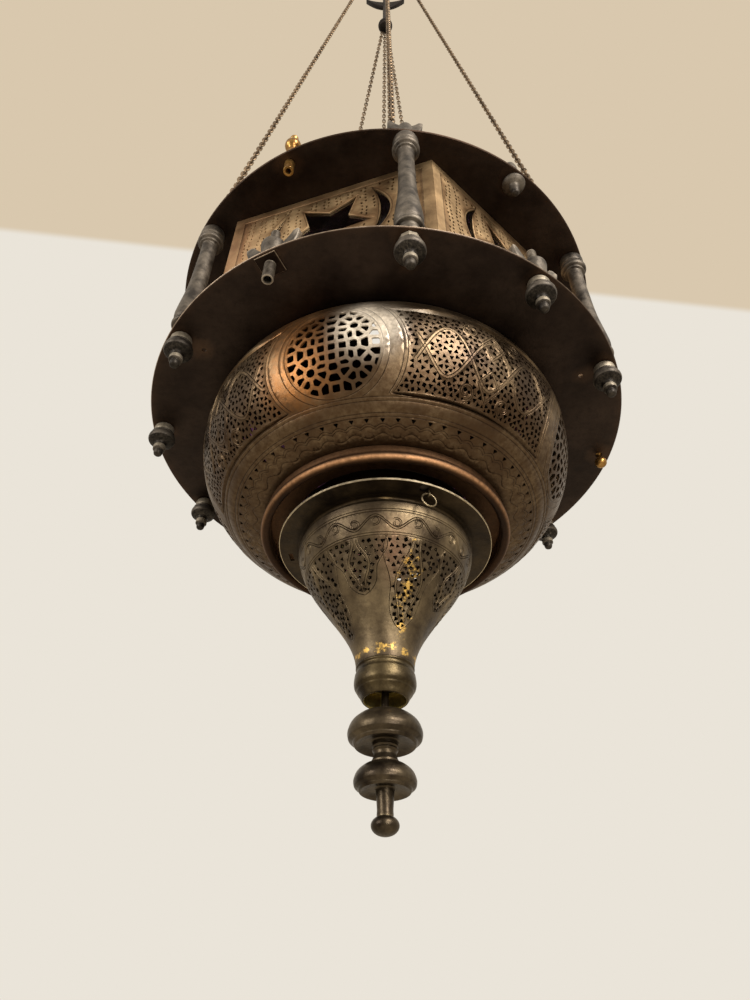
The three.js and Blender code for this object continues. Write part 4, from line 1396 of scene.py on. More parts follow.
def draw_scallops(shell, draw):
    """Small scallops in a row, with a garland of two lines and a vine below them."""
    pitch = shell.width / SCALLOPS
    for k in range(SCALLOPS):
        x = (k + 0.5) * pitch + draw.uniform(-1, 1)
        shell.drawing.hole([(x + dx, y) for dx, y in SCALLOP], 0.2)
    garland = [(pitch * k / 8, GARLAND_Y - GARLAND_DROP * abs(math.sin(math.pi * k / 8)))
               for k in range(SCALLOPS * 8 + 1)]
    shell.drawing.line(garland, 0.5, 0.3)
    shell.drawing.line([(x, y + GARLAND_APART) for x, y in garland], 0.4, 0.25)
    vine = [(x, GARLAND_VINE_Y + GARLAND_VINE_RISE * math.sin(2 * math.pi * x / (2 * pitch)))
            for x, _ in garland]
    shell.drawing.line(vine, 0.4, 0.25)


def draw_medallion(shell, centre, draw):
    """A lattice of small holes in an oval, with engraved ovals round it."""
    for cell in lattice_cells(medallion_seeds(draw), MEDALLION, STRAP, LEAST_HOLE):
        shell.hole([(shell.spread(centre, p.x, MEDALLION_S + p.y), MEDALLION_S + p.y) for p in cell], 0.4)
    for radius in RING_LINES:
        stretch = radius / MEDALLION[0]
        ring = []
        for k in range(121):
            angle = 2 * math.pi * k / 120
            y = MEDALLION_S + MEDALLION[1] * stretch * math.sin(angle) * (1 if radius < 50 else 0.98)
            ring.append((shell.spread(centre, MEDALLION[0] * stretch * math.cos(angle), y), y))
        for part in between(ring, RING_TOP if radius > 45 else 0.0, RING_BOTTOM):
            shell.drawing.line(part, 0.6, 0.4)


def make_bowl():
    draw = random.Random(21)
    shell = Shell(bowl_profile(), BOWL_RADIUS, 4.2, MEDALLION_TURN + 180)
    quarter = shell.width / 4
    for y in RIM_LEVELS:
        shell.level(y, 300, 0.5, 0.25)
    for y in BAND_LEVELS:
        shell.level(y, 300, 0.6, 0.35)
    draw_scallops(shell, draw)
    for quadrant in range(4):
        centre = quadrant * quarter
        draw_medallion(shell, centre, draw)
        draw_cartouche(shell, centre + quarter / 2, quarter / 2, draw)

    def copper(v):
        ring = hump(bearing(v), *COPPER_BEARING) * clamped((v.z + 112) / 20)
        return ring * ring * (3 - 2 * ring)

    def lattice_highlight(v):
        """Painted highlight where the lattice catches the light: the right half of the front medallion."""
        share = min(1.6 * hump(bearing(v), *HIGHLIGHT_BEARING) * hump(v.z, *HIGHLIGHT_HEIGHT), 1.0)
        return share * share * (3 - 2 * share)

    def brown(v):
        return clamped((-66 - v.z) / 24)

    shape = thick(shell.drawing, shell.place, SHEET)
    piece("pierced_bowl", shape, BOWL_BRASS, "lantern", "bowl", slot="old_brass",
          attributes={"copper": copper, "lattice_highlight": lattice_highlight, "brown": brown, "groove": shell.drawing.engraving})


def between(line, low, high):
    """The stretches of a line whose y lies between two levels."""
    runs = [[]]
    for p in line:
        if low <= p[1] <= high:
            runs[-1].append(p)
        else:
            runs.append([])
    return [run for run in runs if len(run) > 1]


# How far the ground's holes stay apart, their sizes with the step between tries, and the field's margin
CHIP_GAP = 4.6
CHIPS = ((2.9, 2.3), (2.3, 1.7), (1.8, 1.7))
FIELD_MARGIN = 0.8


def draw_cartouche(shell, centre, half, draw):
    """A field of small three-cornered holes round interlaced bands, between two medallions."""
    low, high = CARTOUCHE

    def edge(y):
        """Half the field's width at a level, in the drawing."""
        dy = abs(y - MEDALLION_S)
        return half - shell.spread(0, math.sqrt(max(CARTOUCHE_END ** 2 - dy * dy, 0)), y)

    outline = []
    steps = 36
    for side in (1, -1):
        for k in range(steps + 1):
            y = low + (high - low) * (k / steps if side > 0 else 1 - k / steps)
            outline.append((centre + side * edge(y), y))
    shell.drawing.line(outline + [outline[0]], 0.6, 0.4)
    bands = cartouche_bands(centre, edge)
    for line, half_width in bands:
        for side in (-1, 1):
            shell.drawing.line(offset(line, side * half_width), 0.5, 0.4)
    taken = Nearby(CHIP_GAP)

    def pierce(x, y, size):
        margin = size + FIELD_MARGIN
        if y < low + margin or y > high - margin or abs(x - centre) > edge(y) - margin:
            return
        if taken.distance(Vector((x, y))) < min(CHIP_GAP, size + 2.1):
            return
        if all(distance_to(line, x, y) > half_width + 0.62 * size for line, half_width in bands):
            taken.add(Vector((x, y)))
            shell.hole(chip(x, y, size, draw), 0.35)

    for size, step in CHIPS:
        for x, y in places(centre - half, centre + half, low, high, step):
            pierce(x + draw.uniform(-0.9, 0.9), y + draw.uniform(-0.9, 0.9), size)


def places(x0, x1, y0, y1, step):
    """Places in rows, each coordinate going up by a step."""
    y = y0
    while y < y1:
        x = x0
        while x < x1:
            yield x, y
            x += step
        y += step


def distance_to(line, x, y):
    best = 1e9
    for (ax, ay), (bx, by) in zip(line, line[1:]):
        if min(ax, bx) - 8 > x or max(ax, bx) + 8 < x:
            continue
        dx, dy = bx - ax, by - ay
        t = min(max(((x - ax) * dx + (y - ay) * dy) / max(dx * dx + dy * dy, 1e-9), 0), 1)
        best = min(best, math.hypot(x - ax - dx * t, y - ay - dy * t))
    return best


def spiral(x, y, radius, shrink, start, turn, count):
    """Points that go round (x, y) by a turn each, ever nearer to it."""
    return [arc(x, y, radius - shrink * k, [start + turn * k])[0] for k in range(count)]


def cartouche_bands(centre, edge):
    """Strapwork, alike on both sides of the middle: two crossing waves, lozenges, and small scrolls."""
    mid = MEDALLION_S + 2
    reach = edge(mid) - 7
    bands = []
    for phase in (0, math.pi):
        line = wave(-reach, reach, 0, WAVE_RISE, WAVE_PERIOD, phase + math.pi / 2, 2.5)
        bands.append(([(centre + x, mid + y) for x, y in line], WAVE_BAND))
    for side in (-1, 1):
        for level in (-1, 1):
            scroll = spiral(centre + side * SCROLL_X, mid + level * SCROLL_Y, SCROLL, SCROLL_SHRINK,
                            90 * level, side * SCROLL_TURN, 18)
            bands.append((scroll, SCROLL_BAND))
    for level in (-1, 1):
        lozenge = [(centre + x, mid + level * y) for x, y in LOZENGE]
        bands.append((densified(lozenge, 2.5), LOZENGE_BAND))
    return bands


def densified(line, step):
    out = []
    for a, b in zip(line, line[1:]):
        a, b = Vector(a), Vector(b)
        count = max(1, int((b - a).length / step))
        out.extend(tuple(a.lerp(b, k / count)) for k in range(count))
    return out + [tuple(line[-1])]


# Base ring with its roll moulding

ROLL, ROLL_CENTRE, ROLL_DROP, ROLL_WALL = 4.5, 110.5, 11.9, 4.5
DOOR_HOLE = 86.0
PLATE_TOP = -BOWL_DEPTH - GAP
PLATE_BOTTOM = PLATE_TOP - SHEET
FLANGE_RADIUS, FLANGE_DROP = 97.0, 20.6
FLANGE_TOP = PLATE_BOTTOM - FLANGE_DROP
FLANGE_BOTTOM = FLANGE_TOP - SHEET
HINGE_ANGLE, HINGE_DROP, HINGE_STANDOFF = 114.0, 15.0, 4.0
HINGE_Z = PLATE_BOTTOM - HINGE_DROP
HINGE_RADIUS = FLANGE_RADIUS + HINGE_STANDOFF
PIN, BARREL, BARREL_LENGTH, EAR = 1.6, 3.6, 12.0, 4.0


def at_hinge(shape):
    turn = Matrix.Rotation(math.radians(HINGE_ANGLE - 90), 4, "Z")
    return moved(shape, turn @ Matrix.Translation((0, HINGE_RADIUS, HINGE_Z)))


def rod(bore, radius, length):
    """A rod along X with a bore, or none, softened at its ends."""
    half, edge = length / 2, 0.3
    outline = [(bore, -half), (radius - edge, -half), (radius, -half + edge), (radius, half - edge),
               (radius - edge, half), (bore, half)]
    return moved(turned(outline, 24), Matrix.Rotation(math.pi / 2, 4, "Y"))


def make_base_ring():
    centre_z = PLATE_TOP - ROLL_DROP
    outline = [(DOOR_HOLE, PLATE_BOTTOM), (DOOR_HOLE, PLATE_TOP)]
    roll_top = centre_z + ROLL
    outline += rounded([(ROLL_CENTRE, PLATE_TOP), (ROLL_CENTRE + 2.2, PLATE_TOP, 1.5),
                        (ROLL_CENTRE + 1.2, roll_top + 1.6, 1), (ROLL_CENTRE + 1.6, roll_top)], 3)
    outline += arc(ROLL_CENTRE, centre_z, ROLL, [62 - 282 * k / 24 for k in range(25)])
    outline += [(ROLL_CENTRE - ROLL_WALL, centre_z + 1.2 * ROLL), (ROLL_CENTRE - ROLL_WALL, PLATE_BOTTOM)]

    def crest(v):
        """Painted highlight along one line of the roll, most at the front, with a little painted light on the
        inner plate.
        """
        if v.z > centre_z + 0.9 * ROLL or math.hypot(v.x, v.y) < ROLL_CENTRE - 0.9 * ROLL:
            return 0.15
        angle = math.atan2(v.z - centre_z, math.hypot(v.x, v.y) - ROLL_CENTRE)
        front = max(0.0, -v.y / math.hypot(v.x, v.y))
        return max(math.cos(angle + math.radians(35)), 0) ** 12 * (0.3 + 0.7 * front)

    piece("roll_moulding", turned(outline, 160), ROLL_COPPER, "lantern", "base_ring", slot="old_brass",
          attributes={"crest": crest})
    gap = BARREL_LENGTH / 2 + GAP
    ears = []
    for side in (-1, 1):
        x0, x1 = side * gap, side * (gap + EAR)
        loop = [(-BARREL, HINGE_DROP + SHEET / 2), (-BARREL, 0)]
        loop += arc(0, 0, BARREL, range(180, 361, 15)) + [(BARREL, HINGE_DROP + SHEET / 2)]
        ear = prism(merged_loop(loop), min(x0, x1), max(x0, x1))
        ears.append(moved(ear, Matrix.Rotation(-math.pi / 2, 4, "Z")))
    pin = rod(0, PIN, 2 * (gap + EAR) - 1)
    piece("hinge_ears", at_hinge(join(*ears, pin)), ROLL_COPPER, "lantern", slot="old_brass", bevel=0.3,
          attributes={"crest": lambda v: 0.0})


# Cone door

CONE_TOP, CONE_LEDGE, CONE_LENGTH, CONE_DROP = 78.7, 4.0, 112.0, 8.0
COLLAR, COLLAR_NECK, COLLAR_LENGTH, COLLAR_SHELF = 25.2, 6.0, 22.0, 3.0
COLLAR_LIP, MOUTH_DEPTH, SHELF_HOLE = 17.0, 13.0, 13.0
CONE_Z = FLANGE_BOTTOM - CONE_DROP
COLLAR_Z = CONE_Z - CONE_LENGTH
COLLAR_BOTTOM = COLLAR_Z - COLLAR_LENGTH - COLLAR_NECK
SHELF_BOTTOM = COLLAR_BOTTOM + MOUTH_DEPTH
CONE_END = COLLAR - 1.4
PLUG = DOOR_HOLE - 1.5
SLOT_ANGLES = (54.0, 174.0)
SLOT_RADIUS, SLOT_LENGTH, SLOT_SIZE = FLANGE_RADIUS - 9.5, 12.0, 4.0
PULL_ANGLE, PULL_RADIUS = -66.0, FLANGE_RADIUS - 8.0
PULL_RING, PULL_WIRE = 6.5, 0.8
RECESS_ANGLE, RECESS_RADIUS, RECESS = PULL_ANGLE - 3.2, 91.0, 4.6
LUG_HEIGHT, LUG_EYE, LUG_WIRE = 5.0, 1.9, 0.6
PULL_Z = FLANGE_BOTTOM - LUG_HEIGHT / 2


def cone_profile():
    points = []
    for k in range(81):
        t = k / 80
        share = 0.88 * (1 - 3 * t * t + 2 * t ** 3) + 0.12 * (1 - t)
        points.append((CONE_END + (CONE_TOP - CONE_END) * share, CONE_Z - CONE_LENGTH * t))
    return Profile(points)


CONE_REFERENCE = 72.0
# Engraved levels down the cone, the vine between them, and the lobes below: top, long and short depth
CONE_LEVELS = (7.0, 9.2, 27.4, 29.4)
VINE_Y, VINE_RISE, CURLS = 18.3, 5.4, 26
LOBES, LOBE_TOP, LOBE_DEPTHS = 8, 31, (74.0, 46.0)
LOBE_TURN = -67.0
# Half the width of a lobe's bands, how far its holes stay apart, and the step between tries
LOBE_BAND, LOBE_HOLE_GAP, LOBE_STEP = 1.3, 4.8, 2.4


def draw_vine(shell):
    """A wavy stem with a curl in each of its bends."""
    period = shell.width / CURLS
    vine = wave(0, shell.width, VINE_Y, VINE_RISE, period * 2, 0, 1.4)
    vine[-1] = (shell.width, vine[0][1])
    for side in (-1, 1):
        shell.drawing.line([(x, y + 1.1 * side) for x, y in vine], 0.5, 0.5)
    for k in range(CURLS):
        up = 1 if k % 2 else -1
        for start in (5.0, 3.6):
            curl = spiral((k + 0.5) * period, VINE_Y - up * 1.6, start, 0.2, up * 110, up * -25, 13)
            shell.drawing.line(curl, 0.45, 0.4)


def draw_lobe(shell, k, taken, draw):
    """A long or a short hanging lobe: an outline, two bands, and a ground of small holes."""
    half = 0.5 * shell.width / LOBES
    centre = (k + 0.5) * shell.width / LOBES
    depth = LOBE_DEPTHS[k % 2]
    bulge = 0.8 if k % 2 else 1

    def reach(y):
        """Half the lobe's width at a level, on the metal."""
        t = clamped((y - LOBE_TOP) / depth)
        return half * (1 - t) ** 0.6 * (0.94 + 0.12 * math.sin(9 * t))

    for side in (-1, 1):
        levels = [LOBE_TOP + depth * j / 20 for j in range(21)]
        shell.drawing.line([(shell.spread(centre, side * reach(y), y), y) for y in levels], 0.55, 0.45)
    bands = []
    for side in (-1, 1):
        band = []
        for j in range(15):
            y = LOBE_TOP + 2 + (depth - 10) * j / 14
            out = side * (3 + 8 * math.sin(math.pi * j / 14) ** 2) * bulge
            band.append((shell.spread(centre, out, y), y))
        bands.append(band)
        for edge in (-1, 1):
            shell.drawing.line(offset(band, edge * LOBE_BAND), 0.5, 0.45)
    for x, y in places(centre - half, centre + half, LOBE_TOP + 2.0, LOBE_TOP + depth - 3, LOBE_STEP):
        px, py = x + draw.uniform(-1, 1), y + draw.uniform(-1, 1)
        size = draw.uniform(2.0, 2.9)
        stretch = shell.reference / shell.profile.radius(py)
        inside = abs(px - centre) * shell.profile.radius(py) / shell.reference < reach(py) - size
        clear = all(distance_to(band, px, py) > LOBE_BAND + 0.65 * size for band in bands)
        if inside and clear and taken.distance(Vector((px, py))) > LOBE_HOLE_GAP:
            taken.add(Vector((px, py)))
            shell.hole([(px + (hx - px) * stretch, hy) for hx, hy in chip(px, py, size, draw)], 0.3)


def make_cone():
    draw = random.Random(5)
    shell = Shell(cone_profile(), CONE_REFERENCE, 3.4, LOBE_TURN - 180.0 / LOBES)
    for y in CONE_LEVELS:
        shell.level(y, 200, 0.5, 0.35)
    draw_vine(shell)
    taken = Nearby(5.0)
    for k in range(LOBES):
        draw_lobe(shell, k, taken, draw)

    def gold(v):
        """Painted highlight in a streak down the front, and a band of the same colour over the collar."""
        streak = hump(bearing(v), -66 - 0.1 * (v.z + 230), 24) * clamped((-v.z - 170) / 25)
        return max(0.68 * streak * clamped((v.z + 262) / 12), 0.7 * hump(v.z, COLLAR_Z + 6, 9))

    def copper(v):
        return hump(bearing(v), -84, 16) * hump(v.z, -190, 30)

    piece("pierced_cone", thick(shell.drawing, shell.place, SHEET), CONE_BRASS, "door", "cone_door",
          slot="old_brass", attributes={"gold": gold, "copper": copper, "groove": shell.drawing.engraving})
    make_flange()
    make_collar()
    make_door_fittings()


def make_flange():
    """The plug, the flange with its two slots and the hole behind the pull, and the step down to the cone."""
    neck = CONE_TOP - CONE_LEDGE
    flange = Drawing(2 * math.pi * FLANGE_RADIUS, FLANGE_RADIUS - neck - 4, 4.0, wraps=True)
    for degrees in SLOT_ANGLES:
        x = flange.width * (degrees + 180) / 360
        y = FLANGE_RADIUS - SLOT_RADIUS
        half_x, half_y = SLOT_LENGTH / 2, SLOT_SIZE / 2
        flange.hole(rectangle(x - half_x, y - half_y, x + half_x, y + half_y))
    recess_x = flange.width * (RECESS_ANGLE + 180) / 360
    flange.hole(circle(recess_x, FLANGE_RADIUS - RECESS_RADIUS, RECESS, 18), 0.3)
    flange.line([(flange.width * k / 160, 0.7) for k in range(161)], 0.4, 0.0)

    def place(x, y, depth):
        return polar(FLANGE_RADIUS - y, 360 * x / flange.width - 180, FLANGE_BOTTOM + depth)

    plate = thick(flange, place, SHEET)
    # The rim attribute paints a highlight along the flange's outer edge.
    piece("flange", plate, FLANGE_BRASS, "door", slot="old_brass",
          attributes={"rim": lambda v: 1.0 if math.hypot(v.x, v.y) > FLANGE_RADIUS - 0.5 else 0.0})
    # A dark iron cup behind the hole at the pull, painted shade for the inside of the recess.
    outer, inner = RECESS + 0.8, RECESS + 0.2
    cup = [(0, 2.0), (outer, 2.0), (outer, 0.05), (inner, 0.05), (inner, 1.5), (0, 1.5)]
    x, y, _ = polar(RECESS_RADIUS, RECESS_ANGLE)
    piece("pull_recess", at(turned(cup, 24), x, y, FLANGE_TOP), IRON, "door", slot="dark_sheet")
    plug = [(PLUG, PLATE_TOP), (PLUG, FLANGE_TOP + 0.5), (neck + 5, FLANGE_TOP), (neck + 5, FLANGE_BOTTOM),
            (neck + 1.2, FLANGE_BOTTOM - 0.4, 0.8), (neck, FLANGE_BOTTOM - 1.6, 0.8),
            (neck, CONE_Z + 0.8, 0.5), (CONE_TOP - 0.5, CONE_Z, 0.3), (neck - SHEET, CONE_Z - SHEET),
            (neck - SHEET, FLANGE_TOP), (PLUG - SHEET, FLANGE_TOP), (PLUG - SHEET, PLATE_TOP)]
    piece("door_plug", turned(rounded(plug, 3), 128), FLANGE_BRASS, "door", slot="old_brass")


def make_collar():
    """A neck, a full bead, and the lip of an open mouth with the shelf that carries the finial's head."""
    bore = COLLAR - 2 * SHEET
    shelf_top = SHELF_BOTTOM + COLLAR_SHELF
    neck = shifted([(-SHEET, 0), (0, 0, 0.4), (0.2, -1.4, 0.6), (-0.9, -2.6, 0.8), (-0.6, -5.4, 1),
                    (0.6, -7, 0.8)], CONE_END, COLLAR_Z)
    bead = shifted([(-0.4, -10, 2), (0, -14, 2), (-0.6, -17.6, 2), (-2.4, -20, 0.8), (-2.8, -21.2, 0.6),
                    (-4.6, -23.6, 2)], COLLAR, COLLAR_Z)
    lip = shifted([(2.2, 1.6, 0.8), (1.2, 0, 0.8), (0, 0, 0.6), (-0.5, 1.8, 0.5)], COLLAR_LIP, COLLAR_BOTTOM)
    shelf = [(COLLAR_LIP, SHELF_BOTTOM), (SHELF_HOLE, SHELF_BOTTOM, 0.4), (SHELF_HOLE, shelf_top, 0.4),
             (bore, shelf_top), (bore, COLLAR_Z - COLLAR_NECK), neck[0]]

    def inside(v):
        return 1.0 if math.hypot(v.x, v.y) < COLLAR_LIP + 0.3 and v.z < SHELF_BOTTOM + 1 else 0.0

    outline = rounded(neck + bead + lip + shelf, 4)[:-1]
    piece("collar", turned(outline, 72), COLLAR_BRONZE, "door", slot="old_brass",
          attributes={"gold": inside})


def make_door_fittings():
    strap_low = FLANGE_TOP - HINGE_Z - SHEET / 2
    half = (BARREL_LENGTH - GAP) / 2
    bore = PIN + 0.2
    barrel = rod(bore, BARREL, 2 * half)
    strap = block((-half, half), (-12 - PIN, -bore), (strap_low, 0))
    piece("hinge_barrel", at_hinge(join(barrel, strap)), FLANGE_BRASS, "door", slot="old_brass", bevel=0.3)
    legs = [tube([(x, 0, 1.6), (x, 0, LUG_HEIGHT / 2 + 0.4)], LUG_WIRE, 8) for x in (-1.0, 1.0)]
    lug = moved(join(hoop(LUG_EYE, LUG_WIRE, 20, 8), *legs), Matrix.Rotation(math.pi / 2, 4, "Z"))
    x, y, _ = polar(PULL_RADIUS, PULL_ANGLE)
    turn = PULL_ANGLE - 90
    piece("pull_lug", at(lug, x, y, PULL_Z, turn), FINIAL_METAL, "door", slot="pewter")
    ring = at(hoop(PULL_RING, PULL_WIRE, 40, 10), 0, 0, -PULL_RING)
    piece("wire_pull", at(ring, x, y, PULL_Z, turn), FINIAL_METAL, "pull", "pull_ring", slot="pewter")


# Finial

FINIAL_HEAD, FINIAL_STEM = 18.0, 3.0
BEAD, BEAD_DROP, NECK = 29.2, 27.5, 9.8
SMALL_BEAD, SMALL_BEAD_DROP = 23.6, 36.0
TIP, TIP_HEIGHT, TIP_DROP = 10.2, 14.0, 30.0


def bead_outline(r, z, neck_above, neck_below):
    """A bead with a flat top, a full shoulder, a lip under its belly and a dished underside."""
    bead = [
        (0.68, 0.49, 3), (0.92, 0.28, 4), (1, 0.02, 3), (0.965, -0.13, 1), (0.85, -0.2, 1),
        (0.84, -0.235, 0.4), (0.8, -0.3, 0.8), (0.74, -0.29, 0.8), (0.55, -0.2, 4),
    ]
    return [(neck_above, z + 0.575 * r, 0.6), *scaled(bead, r, z, r), (neck_below, z - 0.18 * r, 2)]


def make_finial():
    """A head on the shelf, a stem, a large bead, a ringed neck, a small bead and a round tip."""
    seat = SHELF_BOTTOM + COLLAR_SHELF + GAP
    z = COLLAR_BOTTOM - BEAD_DROP
    zs = z - SMALL_BEAD_DROP
    zt = zs - TIP_DROP
    half = TIP_HEIGHT / 2
    outline = [
        (0, seat + 3), (FINIAL_HEAD, seat + 3, 0.8), (FINIAL_HEAD, seat, 0.8), (FINIAL_STEM, seat, 0.5),
        (FINIAL_STEM, z + 0.64 * BEAD, 0.8), (0.3 * BEAD, z + 0.6 * BEAD, 1),
        *bead_outline(BEAD, z, 0.38 * BEAD, NECK),
        *scaled([(0.98, -0.3, 0.5), (1.04, -0.33, 0.4), (0.93, -0.37, 0.4), (1.02, -0.42, 0.4),
                 (0.9, -0.47, 0.5), (0.86, -0.56, 2)], NECK, z, BEAD),
        *scaled([(1, 0.7, 1), (1.08, 0.64, 0.6)], NECK, zs, SMALL_BEAD),
        *bead_outline(SMALL_BEAD, zs, 1.05 * NECK, 0.7 * NECK),
        *scaled([(0.6, 1.5, 2), (0.62, 1.1, 0.5)], NECK, zt, half),
    ]
    tip = arc(0, zt, TIP, range(54, -90, -9), half)
    finial = turned(rounded(outline, 5) + tip + [(0, zt - half)], 80)
    piece("finial_beads", finial, FINIAL_METAL, "finial", "finial", slot="pewter", sharp=50)


# Lamp

CUP, CUP_FOOT, CUP_DEPTH, CUP_WALL, CUP_LIP = 33.0, 20.0, 62.0, 2.0, 5.0
CARRIER_THICKNESS, CARRIER_RING, CARRIER_ARM, CARRIER_TURN = 3.0, 9.0, 10.0, 95.0


def make_lamp():
    base = DISC_THICKNESS + GAP
    top = base + CARRIER_THICKNESS
    inner = CUP + 1.5
    outer = inner + CARRIER_RING
    ring = [(inner, base, 0.8), (outer, base, 0.8), (outer, top, 0.8), (inner, top, 0.8), (inner, base)]
    arm = block((outer - 0.5, LOWER_DISC_HOLE + 10), (-CARRIER_ARM / 2, CARRIER_ARM / 2), (base, top))
    arms = [at(arm, 0, 0, 0, CARRIER_TURN + 120 * i) for i in range(3)]
    piece("lamp_bracket", join(turned(rounded(ring, 2), 72), *arms), DARK_SHEET, "lantern", "lamp_carrier",
          slot="dark_sheet", bevel=0.4)
    rim, rim_top = top + GAP, top + GAP + CUP_WALL
    foot, belly = rim - CUP_DEPTH, rim - 0.55 * CUP_DEPTH
    outline = [
        (0, foot), (CUP_FOOT, foot, 4), (0.8 * CUP, belly, 12), (CUP, rim - 8, 4), (CUP, rim, 0.6),
        (CUP + CUP_LIP, rim, 0.9), (CUP + CUP_LIP, rim_top, 0.9), (CUP - CUP_WALL, rim_top, 0.9),
        (CUP - CUP_WALL, rim - 8, 4), (0.8 * CUP - CUP_WALL, belly, 12),
        (CUP_FOOT - CUP_WALL, foot + CUP_WALL, 4), (0, foot + CUP_WALL),
    ]
    piece("glass_cup", turned(rounded(outline, 5), 96), CLEAR_GLASS, "cup", "oil_cup", slot="clear_glass")


# Suspension

REAR_RISE, FRONT_RISE = 1344.0, 1896.0
LINK_PITCH, LINK_WIDTH, LINK_WIRE, LINK_SWAY = 8.6, 8.0, 1.05, 0.16
# Direction that every second link shows its flat side to
LINKS_FACE = Vector((0, -0.7, -0.72))
# How far from the axis the chains in front and at the back end on the hanger
FRONT_TOP, REAR_TOP = 22.0, 12.0
SHANK_WIRE, SHANK_STEP = 6.0, 12
EYE, EYE_WIRE_RADIUS, EYE_INSET = 13.0, 4.5, 17.5
MOON, MOON_RISE, MOON_INNER, MOON_Z = 92, 60, 0.35, 1480
RING, RING_WIRE = 26.0, 4.0


def link_shape():
    """One link lying along X in the XY plane."""
    radius = LINK_WIDTH / 2 - LINK_WIRE
    straight = (LINK_PITCH + 2 * LINK_WIRE) / 2 - radius
    path = []
    for sign, start in ((1, -90), (-1, 90)):
        for k in range(7):
            p = polar(radius, start + 30 * k)
            path.append(Vector((p.x + sign * straight, p.y, 0)))
    return tube(path, LINK_WIRE, 6, closed=True)


def chain_shape(start, end, seed):
    draw = random.Random(seed)
    along = end - start
    count = max(1, round(along.length / LINK_PITCH))
    along.normalize()
    upright = along.cross(LINKS_FACE).normalized()
    link = link_shape()
    shapes = []
    for k in range(count):
        centre = start + (end - start) * ((k + 0.5) / count)
        turn = (math.pi / 2 if k % 2 else 0) + draw.uniform(-LINK_SWAY, LINK_SWAY)
        side = upright * math.cos(turn) + along.cross(upright) * math.sin(turn)
        normal = along.cross(side)
        matrix = Matrix((along, side, normal)).transposed().to_4x4()
        matrix.translation = centre
        shapes.append(moved(link, matrix))
    return join(*shapes)


def chain_ends(node, foot, top):
    """The two ends of a chain's CAD bar: the corners of its box that its feet point to."""
    low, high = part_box(node)
    low, high = (low - BASE) / MM, (high - BASE) / MM
    return Vector((*foot.xy, low.z)), Vector((*top.xy, high.z))


def horn(degrees, side):
    """Where a chain leaves a wing nut: over the horn on one side."""
    return polar(BOLT_RADIUS, degrees) + polar(HORN * UPPER_WINGS[0] / 2, degrees + 90 * side)


def make_chains():
    front = [(i, horn(baluster_angle(i), side), baluster_angle(i)) for i, side in ((5, 1), (0, -1), (1, -1))]
    rear = [
        (0, polar(BOLT_RADIUS, between_angle(2)), between_angle(2)),
        (1, horn(baluster_angle(3), -1), baluster_angle(3)),
        (2, polar(BOLT_RADIUS, between_angle(3)), between_angle(3)),
    ]
    for name, node, chains, top, seed in (("front", "chain_front", front, FRONT_TOP, 0),
                                          ("rear", "chain_back", rear, REAR_TOP, 20)):
        for i, foot, degrees in chains:
            start, end = chain_ends(f"{node}_{i + 1}", foot, polar(top, degrees))
            piece(f"{name}_links_{i + 1}", chain_shape(start, end, seed + i), CHAIN_METAL, "lantern",
                  f"{node}_{i + 1}", slot="chain")


def make_hanger():
    """A drop that gathers the rear chains, a shank with a crescent and a plate, and an eye at its top."""
    eye_z = (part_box("iron_hanger")[1].z - BASE.z) / MM - EYE_INSET
    drop = [(0, 0), (12.8, 0, 2), (16, 6, 4), (16, 14, 4), (8, 22, 4), (6, 30), (0, 30)]
    drop = turned(rounded(shifted(drop, 0, REAR_RISE), 4), 32)
    shank_z = REAR_RISE + 20
    rises = range(int((eye_z - EYE - shank_z) / SHANK_STEP) + 2)
    shank = tube([(0, 0, shank_z + SHANK_STEP * k) for k in rises], SHANK_WIRE, 12)

    def spine(x):
        """Middle of the crescent at a distance across it."""
        a, b = 0.5 + x / MOON, 0.5 - x / MOON
        return x, MOON_RISE * (a ** 2 + b ** 2) + MOON_RISE * a * b * (MOON_INNER - 1)

    moon = plump(crescent_outline(MOON, MOON_RISE, 24, MOON_INNER), 5.0, spine, 4, 0.4)
    plate = [(0, 0), (28, 0, 1), (30, 1.5, 1), (30, 4.5, 1), (27, 6, 1), (0, 6)]
    plate = turned(rounded(shifted(plate, 0, FRONT_RISE), 3), 64)
    eye = at(hoop(EYE, EYE_WIRE_RADIUS, 40, 14), 0, 0, eye_z)
    shape = join(drop, shank, at(moon, 0, 0, MOON_Z), plate, eye)
    piece("forged_hanger", shape, IRON, "lantern", "iron_hanger", slot="iron")


def make_ring_and_hook():
    """The ring of bent bar; the hook keeps its CAD shape and takes the iron."""
    ring = at(hoop(RING, RING_WIRE, 64, 16), 0, 0, middle("hanging_ring").z, 90)
    piece("forged_ring", ring, IRON, "ring", "hanging_ring", slot="iron")
    for hook_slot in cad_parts["ceiling_hook"].material_slots:
        hook_slot.material = IRON


# Stage

CAMERA_PLACE = (0, -0.5364, -2.6194)
CAMERA_YAW, CAMERA_PITCH, CAMERA_ROLL = -1.064, 41.489, 0.712
SENSOR, LENS, NEAREST = 36.0, 26.46, 0.01
# Name, place with its height over the lower disc, size, power and colour
LIGHTS = (
    ("key", (1.5, -2.3, 1.15), (0.7, 1.1), 120, (1.0, 0.94, 0.86)),
    ("fill", (-2.2, -1.7, 0.3), (0.9, 1.4), 42, (1.0, 0.96, 0.9)),
    ("low", (0.9, -2.2, -0.5), (0.6, 0.6), 26, (1.0, 0.95, 0.88)),
)
# Wall and ceiling as the camera sees them, the vector that parts them, and the room's light below and above
SEEN_TONES = ("eae4d9", "d9c8ae")
CEILING_EDGE = (0.208, -1.644, 1.0)
ROOM_TONES = ("857b70", "e4d9c8")
FLOOR_HALF, FLOOR_Z = 14.0, -5.2
FLOOR_TONES = ("d8d2c6", "dcd7cc")


